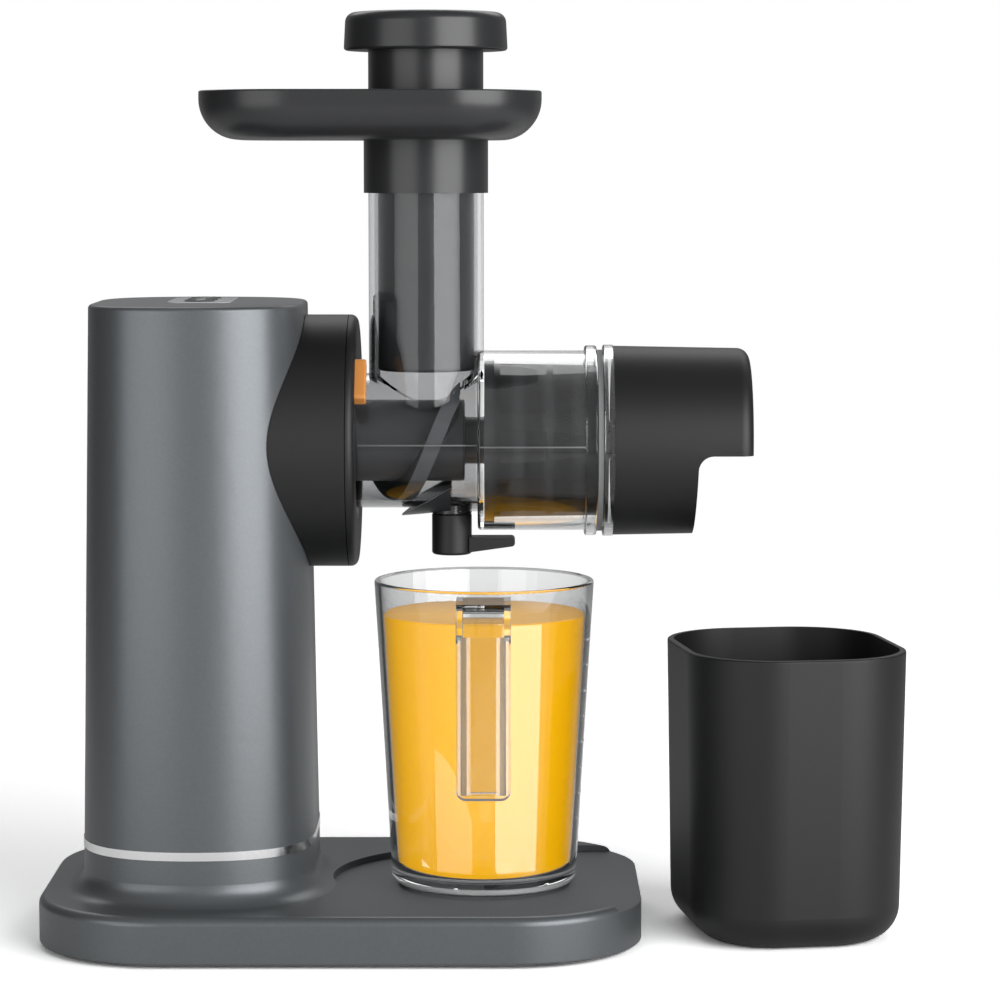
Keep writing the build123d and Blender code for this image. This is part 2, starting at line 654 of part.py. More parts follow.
def hub_face_plate():
    """Front ring of the hub with the socket cup that takes the chamber's flange."""
    points = [
        (CUP_FLOOR_LEFT, NECK_RADIUS + SEAT_GAP), (CUP_FLOOR_LEFT, SOCKET_RADIUS + SOCKET_WALL),
        (FACE_BACK, SOCKET_RADIUS + SOCKET_WALL), (FACE_BACK, HUB_RADIUS), (HUB_FACE, HUB_RADIUS),
        (HUB_FACE, SOCKET_RADIUS), (CUP_FLOOR, SOCKET_RADIUS), (CUP_FLOOR, NECK_RADIUS + SEAT_GAP),
    ]
    plate = turned_on_axis(points, [0, 0, 0, 0, HUB_EDGE, 0.8, 0, 0])
    return plate - tab_bar(FACE_BACK - 1, HUB_FACE + 1, SLIDE_GAP / 2)


def release_tab():
    """Push tab that frees the chamber, with a retaining flange behind the face plate."""
    tab = tab_bar(TAB_BACK, HUB_FACE + TAB_PROUD)
    tab = fillet(tab.faces().sort_by(Axis.X)[-1].edges(), 0.8)
    return tab + tab_bar(FLANGE_BACK, FLANGE_BACK + TAB_FLANGE, 1.0)


def release_spring():
    """Folded leaf spring between the hub's floor and the tab."""
    left = HUB_FLOOR + HUB_WALL
    depth = TAB_BACK - left
    half = TAB_LENGTH / 2 - 3
    side = tab_frame(left) * Plane.YZ
    outline = Polyline(
        (-half, 0), (half, 0), (half, LEAF_THICK), (LEAF_THICK - half, LEAF_THICK), (half, depth - LEAF_THICK),
        (half, depth), (-half, LEAF_THICK * 2), close=True,
    )
    return extrude(side * make_face(outline), amount=LEAF_WIDTH / 2, both=True)


def safety_switch():
    """Switch on the hub's floor, beside the release tab."""
    plane = across(HUB_FLOOR + HUB_WALL) * Rot(0, 0, SWITCH_ANGLE) * Pos(-TAB_RADIUS, 0, 0)
    return extrude(plane * Rectangle(6.0, 13.0), amount=7.0)


# ---- drive --------------------------------------------------------------------------------------------------
def gear(left, face_width, teeth, module, z, first_tooth):
    """Spur gear with involute flanks, its first tooth at an angle in degrees from +Y towards +Z."""
    pitch_radius = module * teeth / 2
    base = pitch_radius * math.cos(PRESSURE_ANGLE)
    root = pitch_radius - DEDENDUM * module
    tip = pitch_radius + ADDENDUM * module

    def half_tooth(radius):
        roll = math.acos(min(1.0, base / radius))
        flank = math.tan(roll) - roll
        standard = math.tan(PRESSURE_ANGLE) - PRESSURE_ANGLE
        return math.pi / (2 * teeth) * (1 - BACKLASH) + standard - flank

    flank_radii = [root, pitch_radius, tip]
    outline = []
    for i in range(teeth):
        middle = math.radians(first_tooth) + 2 * math.pi * i / teeth
        rising = [(r, middle - half_tooth(r)) for r in flank_radii]
        falling = [(r, middle + half_tooth(r)) for r in reversed(flank_radii)]
        outline += [(r * math.cos(a), r * math.sin(a)) for r, a in rising + falling]
    return extrude(across(left, 0, z) * make_face(Polyline(outline, close=True)), amount=face_width)


def motor_pinion():
    teeth = gear(FIRST_LEFT, FIRST_FACE, PINION_TEETH, FIRST_MODULE, MOTOR_Z, 90 + 180 / PINION_TEETH)
    return teeth - rod(FIRST_LEFT - 1, FIRST_LEFT + FIRST_FACE + 1, MOTOR_SHAFT + SHAFT_GAP, 0, MOTOR_Z)


def intermediate_gear():
    """Large wheel driven by the pinion, in one piece with the small gear that drives the output gear."""
    wheel = gear(FIRST_LEFT, FIRST_FACE, WHEEL_TEETH, FIRST_MODULE, IDLER_Z, -90)
    rim = FIRST_MODULE * WHEEL_TEETH / 2 - WHEEL_RIM
    for left in (FIRST_LEFT - 1, FIRST_LEFT + FIRST_FACE - WHEEL_POCKET):
        wheel -= tube(left, left + WHEEL_POCKET + 1, rim, SMALL_HUB, 0, IDLER_Z)
    small = gear(FIRST_LEFT + FIRST_FACE - 0.5, LAST_RIGHT - FIRST_LEFT - FIRST_FACE + 0.5, SMALL_TEETH,
                 LAST_MODULE, IDLER_Z, 90 + 180 / SMALL_TEETH)
    return wheel + small - rod(FIRST_LEFT - 1, LAST_RIGHT + 1, AXLE_RADIUS + SHAFT_GAP, 0, IDLER_Z)


def output_gear():
    wheel = gear(LAST_LEFT, LAST_FACE, OUTPUT_TEETH, LAST_MODULE, AXIS_Z, -90)
    rim = LAST_MODULE * OUTPUT_TEETH / 2 - WHEEL_RIM - 2
    for left in (LAST_LEFT - 1, LAST_RIGHT - WHEEL_POCKET):
        wheel -= tube(left, left + WHEEL_POCKET + 1, rim, OUTPUT_SHAFT + 5)
    return wheel - rod(LAST_LEFT - 1, LAST_RIGHT + 1, OUTPUT_SHAFT + SHAFT_GAP)


def drive_shaft():
    """Output shaft, with the hexagonal socket for the auger in its right end."""
    shaft = rod(CASE_INNER_LEFT - BEARING_WIDTH, DRIVE_END, OUTPUT_SHAFT)
    socket = RegularPolygon(HEX_ACROSS / 2 + SEAT_GAP, 6, major_radius=False)
    return shaft - extrude(across(DRIVE_END - HEX_LENGTH - SEAT_GAP) * socket, amount=HEX_LENGTH + 2)


def output_bearings():
    """Bearings of the drive shaft, one in the gear case and one in the hub's neck."""
    lefts = (CASE_INNER_LEFT - BEARING_WIDTH, NECK_RIGHT - SEAL_WIDTH - BEARING_WIDTH)
    return [tube(x, x + BEARING_WIDTH, BEARING_RADIUS, OUTPUT_SHAFT + SHAFT_GAP) for x in lefts]


def shaft_seal():
    """Rubber lip seal in front of the hub's bearing."""
    return tube(NECK_RIGHT - SEAL_WIDTH, NECK_RIGHT, BEARING_RADIUS, OUTPUT_SHAFT + SHAFT_GAP)


def motor_shaft():
    return rod(CASE_LEFT - MOTOR_LENGTH, FIRST_LEFT + FIRST_FACE, MOTOR_SHAFT, 0, MOTOR_Z)


def motor_can():
    """Body of the motor, seated on the gear case."""
    can = rod(CASE_LEFT - MOTOR_LENGTH, CASE_LEFT, MOTOR_RADIUS, 0, MOTOR_Z)
    for i in range(COOLING_SLOTS):
        turn = Pos(0, 0, MOTOR_Z) * Rot(360 * (i + 0.5) / COOLING_SLOTS, 0, 0) * Pos(0, 0, -MOTOR_Z)
        slot = block(CASE_LEFT - MOTOR_LENGTH + 8, CASE_LEFT - 8, -2, 2, MOTOR_Z + MOTOR_RADIUS - 2,
                     MOTOR_Z + MOTOR_RADIUS + 1)
        can -= turn * slot
    for y in motor_screw_places():
        can -= rod(CASE_LEFT - 5, CASE_LEFT + 1, 1.5 + SEAT_GAP, y, MOTOR_Z)
    return can - rod(CASE_LEFT - MOTOR_LENGTH - 1, CASE_LEFT + 1, MOTOR_SHAFT + SHAFT_GAP, 0, MOTOR_Z)


def motor_bell():
    """Rear cover of the motor."""
    right = CASE_LEFT - MOTOR_LENGTH
    points = [
        (right - BELL_LENGTH, 0), (right - BELL_LENGTH, MOTOR_RADIUS - 4), (right - 1.5, MOTOR_RADIUS),
        (right, MOTOR_RADIUS), (right, 0),
    ]
    outline = Polyline([(x, 0, MOTOR_Z + r) for x, r in points], close=True)
    return revolve(make_face(outline), axis=Axis((0, 0, MOTOR_Z), (1, 0, 0)))


def motor_screw_places():
    """Screws from inside the gear case into the motor's face."""
    return (-MOTOR_SCREW_REACH, MOTOR_SCREW_REACH)


def motor_screws():
    return [screw(CASE_LEFT - 5, CASE_INNER_LEFT, 1.5, 2.8, 1.2, y, MOTOR_Z) for y in motor_screw_places()]


def case_outline(shrink):
    """Outline of the gear case: the hull of three circles round the gears."""
    rings = [
        Pos(0, AXIS_Z) * Circle(OUTPUT_CASE_RADIUS - shrink),
        Pos(0, IDLER_Z) * Circle(IDLER_CASE_RADIUS - shrink),
        Pos(0, MOTOR_Z) * Circle(MOTOR_CASE_RADIUS - shrink),
    ]
    return make_hull(Sketch(children=rings).edges())


def case_ears():
    """Screw ears round the gear case, as (y, z)."""
    wide = OUTPUT_CASE_RADIUS * math.sin(math.radians(45))
    narrow = MOTOR_CASE_RADIUS * math.sin(math.radians(45))
    return [(-wide, AXIS_Z + wide), (wide, AXIS_Z + wide), (-narrow, MOTOR_Z - narrow), (narrow, MOTOR_Z - narrow)]


def case_body(left, right, shrink=0.0):
    return extrude(across(left, 0, 0) * case_outline(shrink), amount=right - left)


def gear_case():
    case = case_body(CASE_LEFT, CASE_INNER_RIGHT)
    for y, z in case_ears():
        case += rod(CASE_LEFT, CASE_INNER_RIGHT, CASE_EAR, y, z)
    case += rod(CASE_INNER_LEFT - BEARING_WIDTH - 2, CASE_LEFT + 1, BEARING_RADIUS + CASE_WALL)
    case -= case_body(CASE_INNER_LEFT, CASE_INNER_RIGHT + 1, CASE_WALL)
    case -= rod(CASE_INNER_LEFT - BEARING_WIDTH, CASE_INNER_LEFT + 1, BEARING_RADIUS)
    case -= rod(CASE_LEFT - 1, CASE_INNER_LEFT + 1, MOTOR_SHAFT + 2, 0, MOTOR_Z)
    case -= rod(CASE_INNER_LEFT - AXLE_SEAT, CASE_INNER_LEFT + 1, AXLE_RADIUS, 0, IDLER_Z)
    for y in motor_screw_places():
        case -= rod(CASE_LEFT - 1, CASE_INNER_LEFT + 1, 1.5 + SEAT_GAP, y, MOTOR_Z)
    for y, z in case_ears():
        case -= rod(CASE_INNER_RIGHT - CASE_SCREW_DEPTH, CASE_INNER_RIGHT + 1, CASE_SCREW + SEAT_GAP, y, z)
    return case


def gear_case_cover():
    cover = case_body(CASE_INNER_RIGHT, CASE_RIGHT)
    for y, z in case_ears():
        cover += rod(CASE_INNER_RIGHT, CASE_RIGHT, CASE_EAR, y, z)
        cover -= rod(CASE_INNER_RIGHT - 1, CASE_RIGHT + 1, CASE_SCREW + SEAT_GAP, y, z)
    cover -= rod(CASE_INNER_RIGHT - 1, CASE_RIGHT + 1, OUTPUT_SHAFT + 1)
    return cover - rod(CASE_INNER_RIGHT - 1, CASE_INNER_RIGHT + AXLE_SEAT, AXLE_RADIUS, 0, IDLER_Z)


def idler_axle():
    """Pin that the intermediate gear turns on, held in both halves of the gear case."""
    return rod(CASE_INNER_LEFT - AXLE_SEAT, CASE_INNER_RIGHT + AXLE_SEAT, AXLE_RADIUS, 0, IDLER_Z)


def gear_case_screws():
    left = CASE_INNER_RIGHT - CASE_SCREW_DEPTH
    return [screw(left, CASE_RIGHT, CASE_SCREW, CASE_SCREW + 1.6, 1.8, y, z) for y, z in case_ears()]


# ---- juicing chamber ----------------------------------------------------------------------------------------
def juicing_chamber():
    """Clear moulding: flange, feed barrel, filter barrel, feed chute and juice spout in one piece."""
    feed_bore = FEED_RADIUS - CHAMBER_WALL
    filter_bore = FILTER_RADIUS - CHAMBER_WALL
    body = rod(FLANGE_LEFT, FLANGE_RIGHT, FLANGE_RADIUS)
    body += rod(FLANGE_LEFT, FILTER_LEFT + 1, FEED_RADIUS)
    body += rod(PARTITION_X, FILTER_LEFT, FEED_RADIUS + PARTITION_RIB)
    body += turned_on_axis([
        (FILTER_LEFT, 0), (FILTER_LEFT, FILTER_RADIUS), (FILTER_END, FILTER_RADIUS), (FILTER_END, RING_RADIUS),
        (NECK_LEFT, RING_RADIUS), (NECK_LEFT, NECK_OUTER), (NECK_END, NECK_OUTER), (NECK_END, 0),
    ], [0, SHOULDER_ROUND, 0, 0.8, 0.8, 0, 0.6, 0])
    body += post(CHUTE_X, 0, AXIS_Z, CHUTE_TOP, CHUTE_RADIUS)
    body += post(SPOUT_X, 0, SPOUT_TUBE_BOTTOM, AXIS_Z - feed_bore, SPOUT_TUBE)
    body += post(SPOUT_X, 0, SPOUT_BODY_TOP + SEAT_GAP, AXIS_Z - feed_bore, SPOUT_RADIUS)
    body -= rod(CHAMBER_BACK, FILTER_LEFT + CHAMBER_WALL + 1, feed_bore)
    body -= rod(FILTER_LEFT + CHAMBER_WALL, NECK_END + 1, filter_bore)
    body -= post(CHUTE_X, 0, AXIS_Z, CHUTE_TOP + 1, CHUTE_RADIUS - CHUTE_WALL)
    body -= post(SPOUT_X, 0, SPOUT_TUBE_BOTTOM - 1, AXIS_Z, SPOUT_BORE)
    return body - rod(FLANGE_LEFT - 1, CHAMBER_BACK + 1, JOURNAL_RADIUS + SHAFT_GAP)


def chamber_seal():
    """Rubber ring round the auger's journal, against the chamber's back wall."""
    return tube(CHAMBER_BACK, CHAMBER_BACK + SEAL_WIDTH, JOURNAL_RADIUS + SEAL_WALL, JOURNAL_RADIUS + SHAFT_GAP)


def flight(left, length, pitch, root, outer, thick, start):
    """One turn of screw thread about the auger's axis; start is its angle in degrees."""
    path = Helix(pitch=pitch, height=length, radius=(root + outer) / 2, lefthand=True)
    plane = Plane(origin=path @ 0, x_dir=(1, 0, 0), z_dir=path % 0)
    band = sweep(plane * Rectangle(outer - root + 2, thick), path=path, is_frenet=True)
    return across(left).location * Rot(0, 0, start) * band


def auger():
    """Screw that crushes the food in the feed barrel and presses the pulp along the filter."""
    press_left = FILTER_LEFT + CHAMBER_WALL + AUGER_GAP
    press_room = BASKET_LEFT_RADIUS - BASKET_WALL - AUGER_GAP
    press_room_end = BASKET_RIGHT_RADIUS - BASKET_WALL - AUGER_GAP
    press_right = BASKET_END - AUGER_GAP
    core = turned_on_axis([
        (AUGER_LEFT, 0), (AUGER_LEFT, AUGER_ROOT), (PARTITION_X, AUGER_ROOT), (PARTITION_X, AUGER_NECK),
        (press_left, AUGER_NECK), (press_left, PRESS_ROOT), (press_right, PRESS_ROOT_END), (press_right, 0),
    ], [0, 1.0, 1.0, 1.0, 1.0, 2.0, 1.0, 0])
    feed_part = turned_on_axis([
        (AUGER_LEFT, 0), (AUGER_LEFT, AUGER_RADIUS), (PARTITION_X - BLADE_STOP, AUGER_RADIUS),
        (PARTITION_X - BLADE_STOP, 0),
    ])
    press_part = turned_on_axis([
        (press_left, 0), (press_left, press_room), (press_right, press_room_end), (press_right, 0),
    ])
    feed_blade = flight(AUGER_LEFT + BLADE_START, FILTER_LEFT - AUGER_LEFT, AUGER_PITCH, AUGER_ROOT, AUGER_RADIUS,
                        FLIGHT_THICK, AUGER_START)
    press_blade = flight(press_left + PRESS_FLIGHT, press_right - press_left - 2 * PRESS_FLIGHT, PRESS_PITCH,
                         PRESS_ROOT - 2, press_room + 2, PRESS_FLIGHT, PRESS_START)
    body = core + (feed_blade & feed_part) + (press_blade & press_part)
    body += rod(CHAMBER_BACK - JOURNAL_LENGTH, AUGER_LEFT + 1, JOURNAL_RADIUS)
    hexagon = RegularPolygon(HEX_ACROSS / 2, 6, major_radius=False)
    body += extrude(across(DRIVE_END - HEX_LENGTH) * hexagon, amount=HEX_LENGTH + 3)
    return body + rod(press_right - 1, AUGER_END, NOSE_RADIUS)


def filter_basket():
    """Tapered sieve cage with ribs and windows, and a spoked end that carries the auger's nose."""
    left = FILTER_LEFT + CHAMBER_WALL + SEAT_GAP
    r0 = BASKET_LEFT_RADIUS
    r1 = BASKET_RIGHT_RADIUS
    wall = BASKET_WALL
    cage = turned_on_axis([
        (left, r0 - wall), (left, BASKET_COLLAR), (left + 4, BASKET_COLLAR), (left + 4, r0), (BASKET_END, r1),
        (BASKET_END, BASKET_COLLAR), (BASKET_END + 2, BASKET_COLLAR), (BASKET_END + 2, r1 - wall),
        (BASKET_END, r1 - wall),
    ])
    for ring in range(BASKET_RINGS):
        middle = left + 5 + (BASKET_END - left - 5) * (ring + 0.5) / BASKET_RINGS
        half = (BASKET_END - left - 5) / BASKET_RINGS / 2 - 1.4
        for i in range(BASKET_RIBS):
            turn = Pos(0, 0, AXIS_Z) * Rot(360 * (i + 0.5) / BASKET_RIBS, 0, 0) * Pos(0, 0, -AXIS_Z)
            cage -= turn * block(middle - half, middle + half, -WINDOW_WIDTH / 2, WINDOW_WIDTH / 2,
                                 AXIS_Z + r0 - wall + SIEVE_THICK, AXIS_Z + r0 + 2)
    for i in range(BASKET_SPOKES):
        turn = Pos(0, 0, AXIS_Z) * Rot(360 * i / BASKET_SPOKES, 0, 0) * Pos(0, 0, -AXIS_Z)
        cage += turn * block(BASKET_END, BASKET_END + 2, -2, 2, AXIS_Z + NOSE_RADIUS + 1, AXIS_Z + r1 - wall + 0.5)
    cage += rod(BASKET_END, BASKET_END + 4, NOSE_RADIUS + 2)
    return cage - rod(BASKET_END - 1, BASKET_END + 5, NOSE_RADIUS + SHAFT_GAP)


def drip_stop():
    """Turning cap under the juice spout, with its lever."""
    cap = turned_upright([
        (SPOUT_DRAIN, SPOUT_BOTTOM), (SPOUT_RADIUS, SPOUT_BOTTOM), (SPOUT_RADIUS, SPOUT_BODY_TOP),
        (SPOUT_TUBE + SHAFT_GAP, SPOUT_BODY_TOP), (SPOUT_TUBE + SHAFT_GAP, SPOUT_TUBE_BOTTOM - SEAT_GAP),
        (SPOUT_DRAIN, SPOUT_TUBE_BOTTOM - SEAT_GAP),
    ], SPOUT_X, [0, 1.2, 0.6, 0, 0, 0])
    middle = SPOUT_X + SPOUT_RADIUS - 1
    outline = FilletPolyline([
        (middle, -LEVER_HALF, SPOUT_BOTTOM + 1), (LEVER_TIP, -LEVER_HALF, SPOUT_BOTTOM + 3.6),
        (LEVER_TIP, -LEVER_HALF, LEVER_TOP), (middle, -LEVER_HALF, LEVER_TOP),
    ], radius=[0, 1.5, 1.5, 0], close=True)
    lever = extrude(make_face(outline), amount=2 * LEVER_HALF, dir=(0, 1, 0))
    return cap + lever


# ---- pulp end cap -------------------------------------------------------------------------------------------
def cap_lock_ring():
    """Clear ring on the end cap that turns over the chamber's neck."""
    ring = tube(RING_B_LEFT, CAP_LEFT, RING_RADIUS + 0.3, NECK_OUTER + SEAT_GAP)
    return fillet(ring.edges().filter_by(GeomType.CIRCLE).sort_by(Axis.X)[0:1], 0.6)


def cap_seal():
    """Rubber seal round the chamber's neck."""
    return tube(NECK_LEFT + SEAT_GAP, RING_B_LEFT - SEAT_GAP, NECK_OUTER + 1.1, NECK_OUTER + SHAFT_GAP)


def cap_form(inset):
    """Drum of the end cap with its lower right quarter cut away, drawn in by a wall thickness."""
    left = CAP_LEFT if inset == 0 else CAP_LEFT - 1
    end = CAP_RIGHT - inset
    form = turned_on_axis([
        (left, 0), (left, CAP_RADIUS - inset), (end, CAP_RADIUS - CAP_SLOPE - inset), (end, 0),
    ], [0, 0, CAP_EDGE - inset * 0.6, 0])
    outline = FilletPolyline([
        (NOTCH_X - inset - NOTCH_LEAN, -HUB_RADIUS, AXIS_Z - 2 * CAP_RADIUS),
        (NOTCH_X - inset, -HUB_RADIUS, NOTCH_Z + inset),
        (CAP_RIGHT + 20, -HUB_RADIUS, NOTCH_Z + inset), (CAP_RIGHT + 20, -HUB_RADIUS, AXIS_Z - 2 * CAP_RADIUS),
    ], radius=[0, NOTCH_ROUND, 0, 0], close=True)
    return form - extrude(make_face(outline), amount=2 * HUB_RADIUS, dir=(0, 1, 0))


def end_cap():
    """Pulp outlet: a hood whose underside is open beyond the notch."""
    cap = cap_form(0) - cap_form(CAP_WALL)
    half = math.sqrt((CAP_RADIUS - CAP_SLOPE - CAP_WALL) ** 2 - (AXIS_Z - NOTCH_Z) ** 2)
    outlet = block(NOTCH_X + OUTLET_MARGIN, CAP_RIGHT - CAP_WALL, -half, half, NOTCH_Z - 1, NOTCH_Z + CAP_WALL + 1)
    cap -= outlet & turned_on_axis([
        (CAP_LEFT, 0), (CAP_LEFT, CAP_RADIUS - CAP_WALL - CAP_SLOPE), (CAP_RIGHT, CAP_RADIUS - CAP_WALL - CAP_SLOPE),
        (CAP_RIGHT, 0),
    ])
    return cap


# ---- feed tray and pusher -----------------------------------------------------------------------------------
def feed_tray():
    """Rounded dish with a collar that fits over the chute."""
    length = TRAY_RIGHT - TRAY_LEFT
    middle = (TRAY_RIGHT + TRAY_LEFT) / 2

    def dish(inset, bottom, round_radius, top):
        plan = RectangleRounded(length - 2 * inset, TRAY_DEPTH - 2 * inset, TRAY_CORNER - inset)
        form = extrude(Plane.XY.offset(bottom) * Pos(middle, 0) * plan, amount=top - bottom)
        return fillet(form.edges().group_by(Axis.Z)[0], round_radius)

    tray = dish(0, TRAY_BOTTOM, TRAY_FLOOR_ROUND, TRAY_TOP)
    tray = fillet(tray.edges().group_by(Axis.Z)[-1], 0.8)
    tray -= dish(TRAY_WALL, TRAY_FLOOR, TRAY_FLOOR_ROUND - TRAY_WALL, TRAY_TOP + 10)
    collar = post(CHUTE_X, 0, COLLAR_BOTTOM, TRAY_FLOOR, COLLAR_RADIUS)
    tray += collar
    tray -= post(CHUTE_X, 0, COLLAR_BOTTOM - 1, CHUTE_TOP + SEAT_GAP, CHUTE_RADIUS + SEAT_GAP)
    return tray - post(CHUTE_X, 0, COLLAR_BOTTOM, TRAY_TOP, CHUTE_RADIUS - CHUTE_WALL)


def pusher_body():
    """Hollow pusher with the wider collar that stops it above the chute."""
    stop = TRAY_FLOOR + SEAT_GAP
    body = turned_upright([
        (0, PUSHER_BOTTOM), (PUSHER_RADIUS, PUSHER_BOTTOM), (PUSHER_RADIUS, stop), (STOP_RADIUS, stop),
        (STOP_RADIUS, CAP_DISC_BOTTOM), (PUSHER_RADIUS - PUSHER_WALL, CAP_DISC_BOTTOM),
        (PUSHER_RADIUS - PUSHER_WALL, PUSHER_BOTTOM + PUSHER_WALL), (0, PUSHER_BOTTOM + PUSHER_WALL),
    ], CHUTE_X, [0, 1.5, 0, 0.8, 0, 0, 0, 0])
    return body


def pusher_cap():
    """Round knob on top of the pusher, with a plug into the pusher's bore."""
    plug = PUSHER_RADIUS - PUSHER_WALL - SEAT_GAP
    return turned_upright([
        (0, CAP_DISC_BOTTOM - PLUG_DEPTH), (plug, CAP_DISC_BOTTOM - PLUG_DEPTH), (plug, CAP_DISC_BOTTOM),
        (CAP_DISC_RADIUS, CAP_DISC_BOTTOM), (CAP_DISC_RADIUS - CAP_DISC_DRAFT, CAP_DISC_TOP), (0, CAP_DISC_TOP),
    ], CHUTE_X, [0, 0, 0, CAP_DISC_LOWER_EDGE, CAP_DISC_EDGE, 0])


# ---- jug ----------------------------------------------------------------------------------------------------
def juice_jug():
    """Clear tapered jug with a channel-shaped handle at the front."""
    lean = (JUG_TOP_RADIUS - JUG_BOTTOM_RADIUS) / (JUG_TOP - JUG_BOTTOM)
    jug = turned_upright([
        (0, JUG_BOTTOM), (JUG_BOTTOM_RADIUS, JUG_BOTTOM), (JUG_TOP_RADIUS, JUG_TOP),
        (JUG_TOP_RADIUS - JUG_WALL, JUG_TOP), (JUG_BOTTOM_RADIUS - JUG_WALL + lean * JUG_FLOOR, JUG_BOTTOM + JUG_FLOOR),
        (0, JUG_BOTTOM + JUG_FLOOR),
    ], JUG_X, [0, 5.0, 1.0, 1.0, 6.0, 0])
    front = -(JUG_TOP_RADIUS + HANDLE_REACH)
    touch = -(JUG_TOP_RADIUS - JUG_WALL / 2 - lean * BRIDGE_HEIGHT)

    def hook(inset, low, high):
        outline = FilletPolyline([
            (JUG_X, front + inset, low), (JUG_X, front + inset, HANDLE_TOP - inset), (JUG_X, touch, HANDLE_TOP - inset),
            (JUG_X, touch, high), (JUG_X, front + HANDLE_CHANNEL, high), (JUG_X, front + HANDLE_CHANNEL, low),
        ], radius=[0, HANDLE_ROUND - inset, 0, 0, 2.0, 0], close=True)
        half = HANDLE_WIDTH / 2 - inset
        return extrude(make_face(outline), amount=half, dir=(1, 0, 0), both=True)

    handle = hook(0, HANDLE_BOTTOM, HANDLE_TOP - BRIDGE_HEIGHT)
    lower = [e for e in handle.edges().filter_by(Axis.Y) if abs(e.center().Z - HANDLE_BOTTOM) < 0.01]
    handle = fillet(lower, HANDLE_CORNER)
    channel = hook(HANDLE_WALL, HANDLE_BOTTOM + HANDLE_WALL, HANDLE_TOP - BRIDGE_HEIGHT - 1)
    channel += block(JUG_X - HANDLE_WIDTH / 2 + HANDLE_WALL, JUG_X + HANDLE_WIDTH / 2 - HANDLE_WALL,
                     front + HANDLE_CHANNEL - 1, front + HANDLE_CHANNEL + 1, HANDLE_BOTTOM + HANDLE_WALL,
                     HANDLE_TOP - BRIDGE_HEIGHT)
    handle -= channel
    inside = turned_upright([
        (0, JUG_BOTTOM), (JUG_BOTTOM_RADIUS - JUG_WALL / 2, JUG_BOTTOM), (JUG_TOP_RADIUS - JUG_WALL / 2, JUG_TOP),
        (0, JUG_TOP),
    ], JUG_X)
    return jug + (handle - inside)


# ---- pulp container -----------------------------------------------------------------------------------------
def bin_plan(z, inset):
    """Turned rounded square of the pulp container at height z."""
    shrink = BIN_TAPER * (BIN_TOP - z) / BIN_TOP + inset
    shape = RectangleRounded(BIN_WIDTH - 2 * shrink, BIN_DEPTH - 2 * shrink, BIN_CORNER - shrink)
    return Plane.XY.offset(z) * Pos(BIN_X, BIN_Y) * Rot(0, 0, BIN_TURN) * shape


def pulp_container():
    outside = loft([bin_plan(0, 0), bin_plan(BIN_TOP, 0)], ruled=True)
    outside = fillet(outside.edges().group_by(Axis.Z)[0], BIN_FLOOR_ROUND)
    outside = fillet(outside.edges().group_by(Axis.Z)[-1], 0.8)
    inside = loft([bin_plan(BIN_WALL, BIN_WALL), bin_plan(BIN_TOP + 1, BIN_WALL)], ruled=True)
    inside = fillet(inside.edges().group_by(Axis.Z)[0], BIN_FLOOR_ROUND - BIN_WALL)
    return outside - inside


# ---- the set ------------------------------------------------------------------------------------------------
NODES = {
    "base_housing": base_housing,
    "base_plate": base_plate,
    "rubber_feet": rubber_feet,
    "base_screws": base_screws,
    "cord_gland": cord_gland,
    "trim_band": trim_band,
    "tower_shell": tower_shell,
    "top_cover": top_cover,
    "control_panel": control_panel,
    "start_button": lambda: button(button_places()[0]),
    "reverse_button": lambda: button(button_places()[1]),
    "power_button": lambda: button(button_places()[2]),
    "button_board": button_board,
    "control_board": control_board,
    "board_screws": board_screws,
    "hub_housing": hub_housing,
    "hub_face_plate": hub_face_plate,
    "hub_screws": hub_screws,
    "release_tab": release_tab,
    "release_spring": release_spring,
    "safety_switch": safety_switch,
    "motor_can": motor_can,
    "motor_bell": motor_bell,
    "motor_shaft": motor_shaft,
    "motor_pinion": motor_pinion,
    "motor_screws": motor_screws,
    "gear_case": gear_case,
    "gear_case_cover": gear_case_cover,
    "gear_case_screws": gear_case_screws,
    "idler_axle": idler_axle,
    "intermediate_gear": intermediate_gear,
    "output_gear": output_gear,
    "drive_shaft": drive_shaft,
    "output_bearings": output_bearings,
    "shaft_seal": shaft_seal,
    "juicing_chamber": juicing_chamber,
    "chamber_seal": chamber_seal,
    "auger": auger,
    "filter_basket": filter_basket,
    "drip_stop": drip_stop,
    "cap_lock_ring": cap_lock_ring,
    "cap_seal": cap_seal,
    "end_cap": end_cap,
    "feed_tray": feed_tray,
    "pusher_body": pusher_body,
    "pusher_cap": pusher_cap,
    "juice_jug": juice_jug,
    "pulp_container": pulp_container,
}


def solids_of(shape):
    """All solids of a node, whether it came as one shape or as a list."""
    shapes = shape if isinstance(shape, list) else [shape]
    return [solid for item in shapes for solid in item.solids()]


os.makedirs("parts", exist_ok=True)
for name, make in NODES.items():
    solids = [solid.moved(Location((-ORIGIN_X, 0, 0))) for solid in solids_of(make())]
    node = solids[0] if len(solids) == 1 else Compound(children=solids)
    node.label = name
    export_step(node, f"parts/{name}.step")
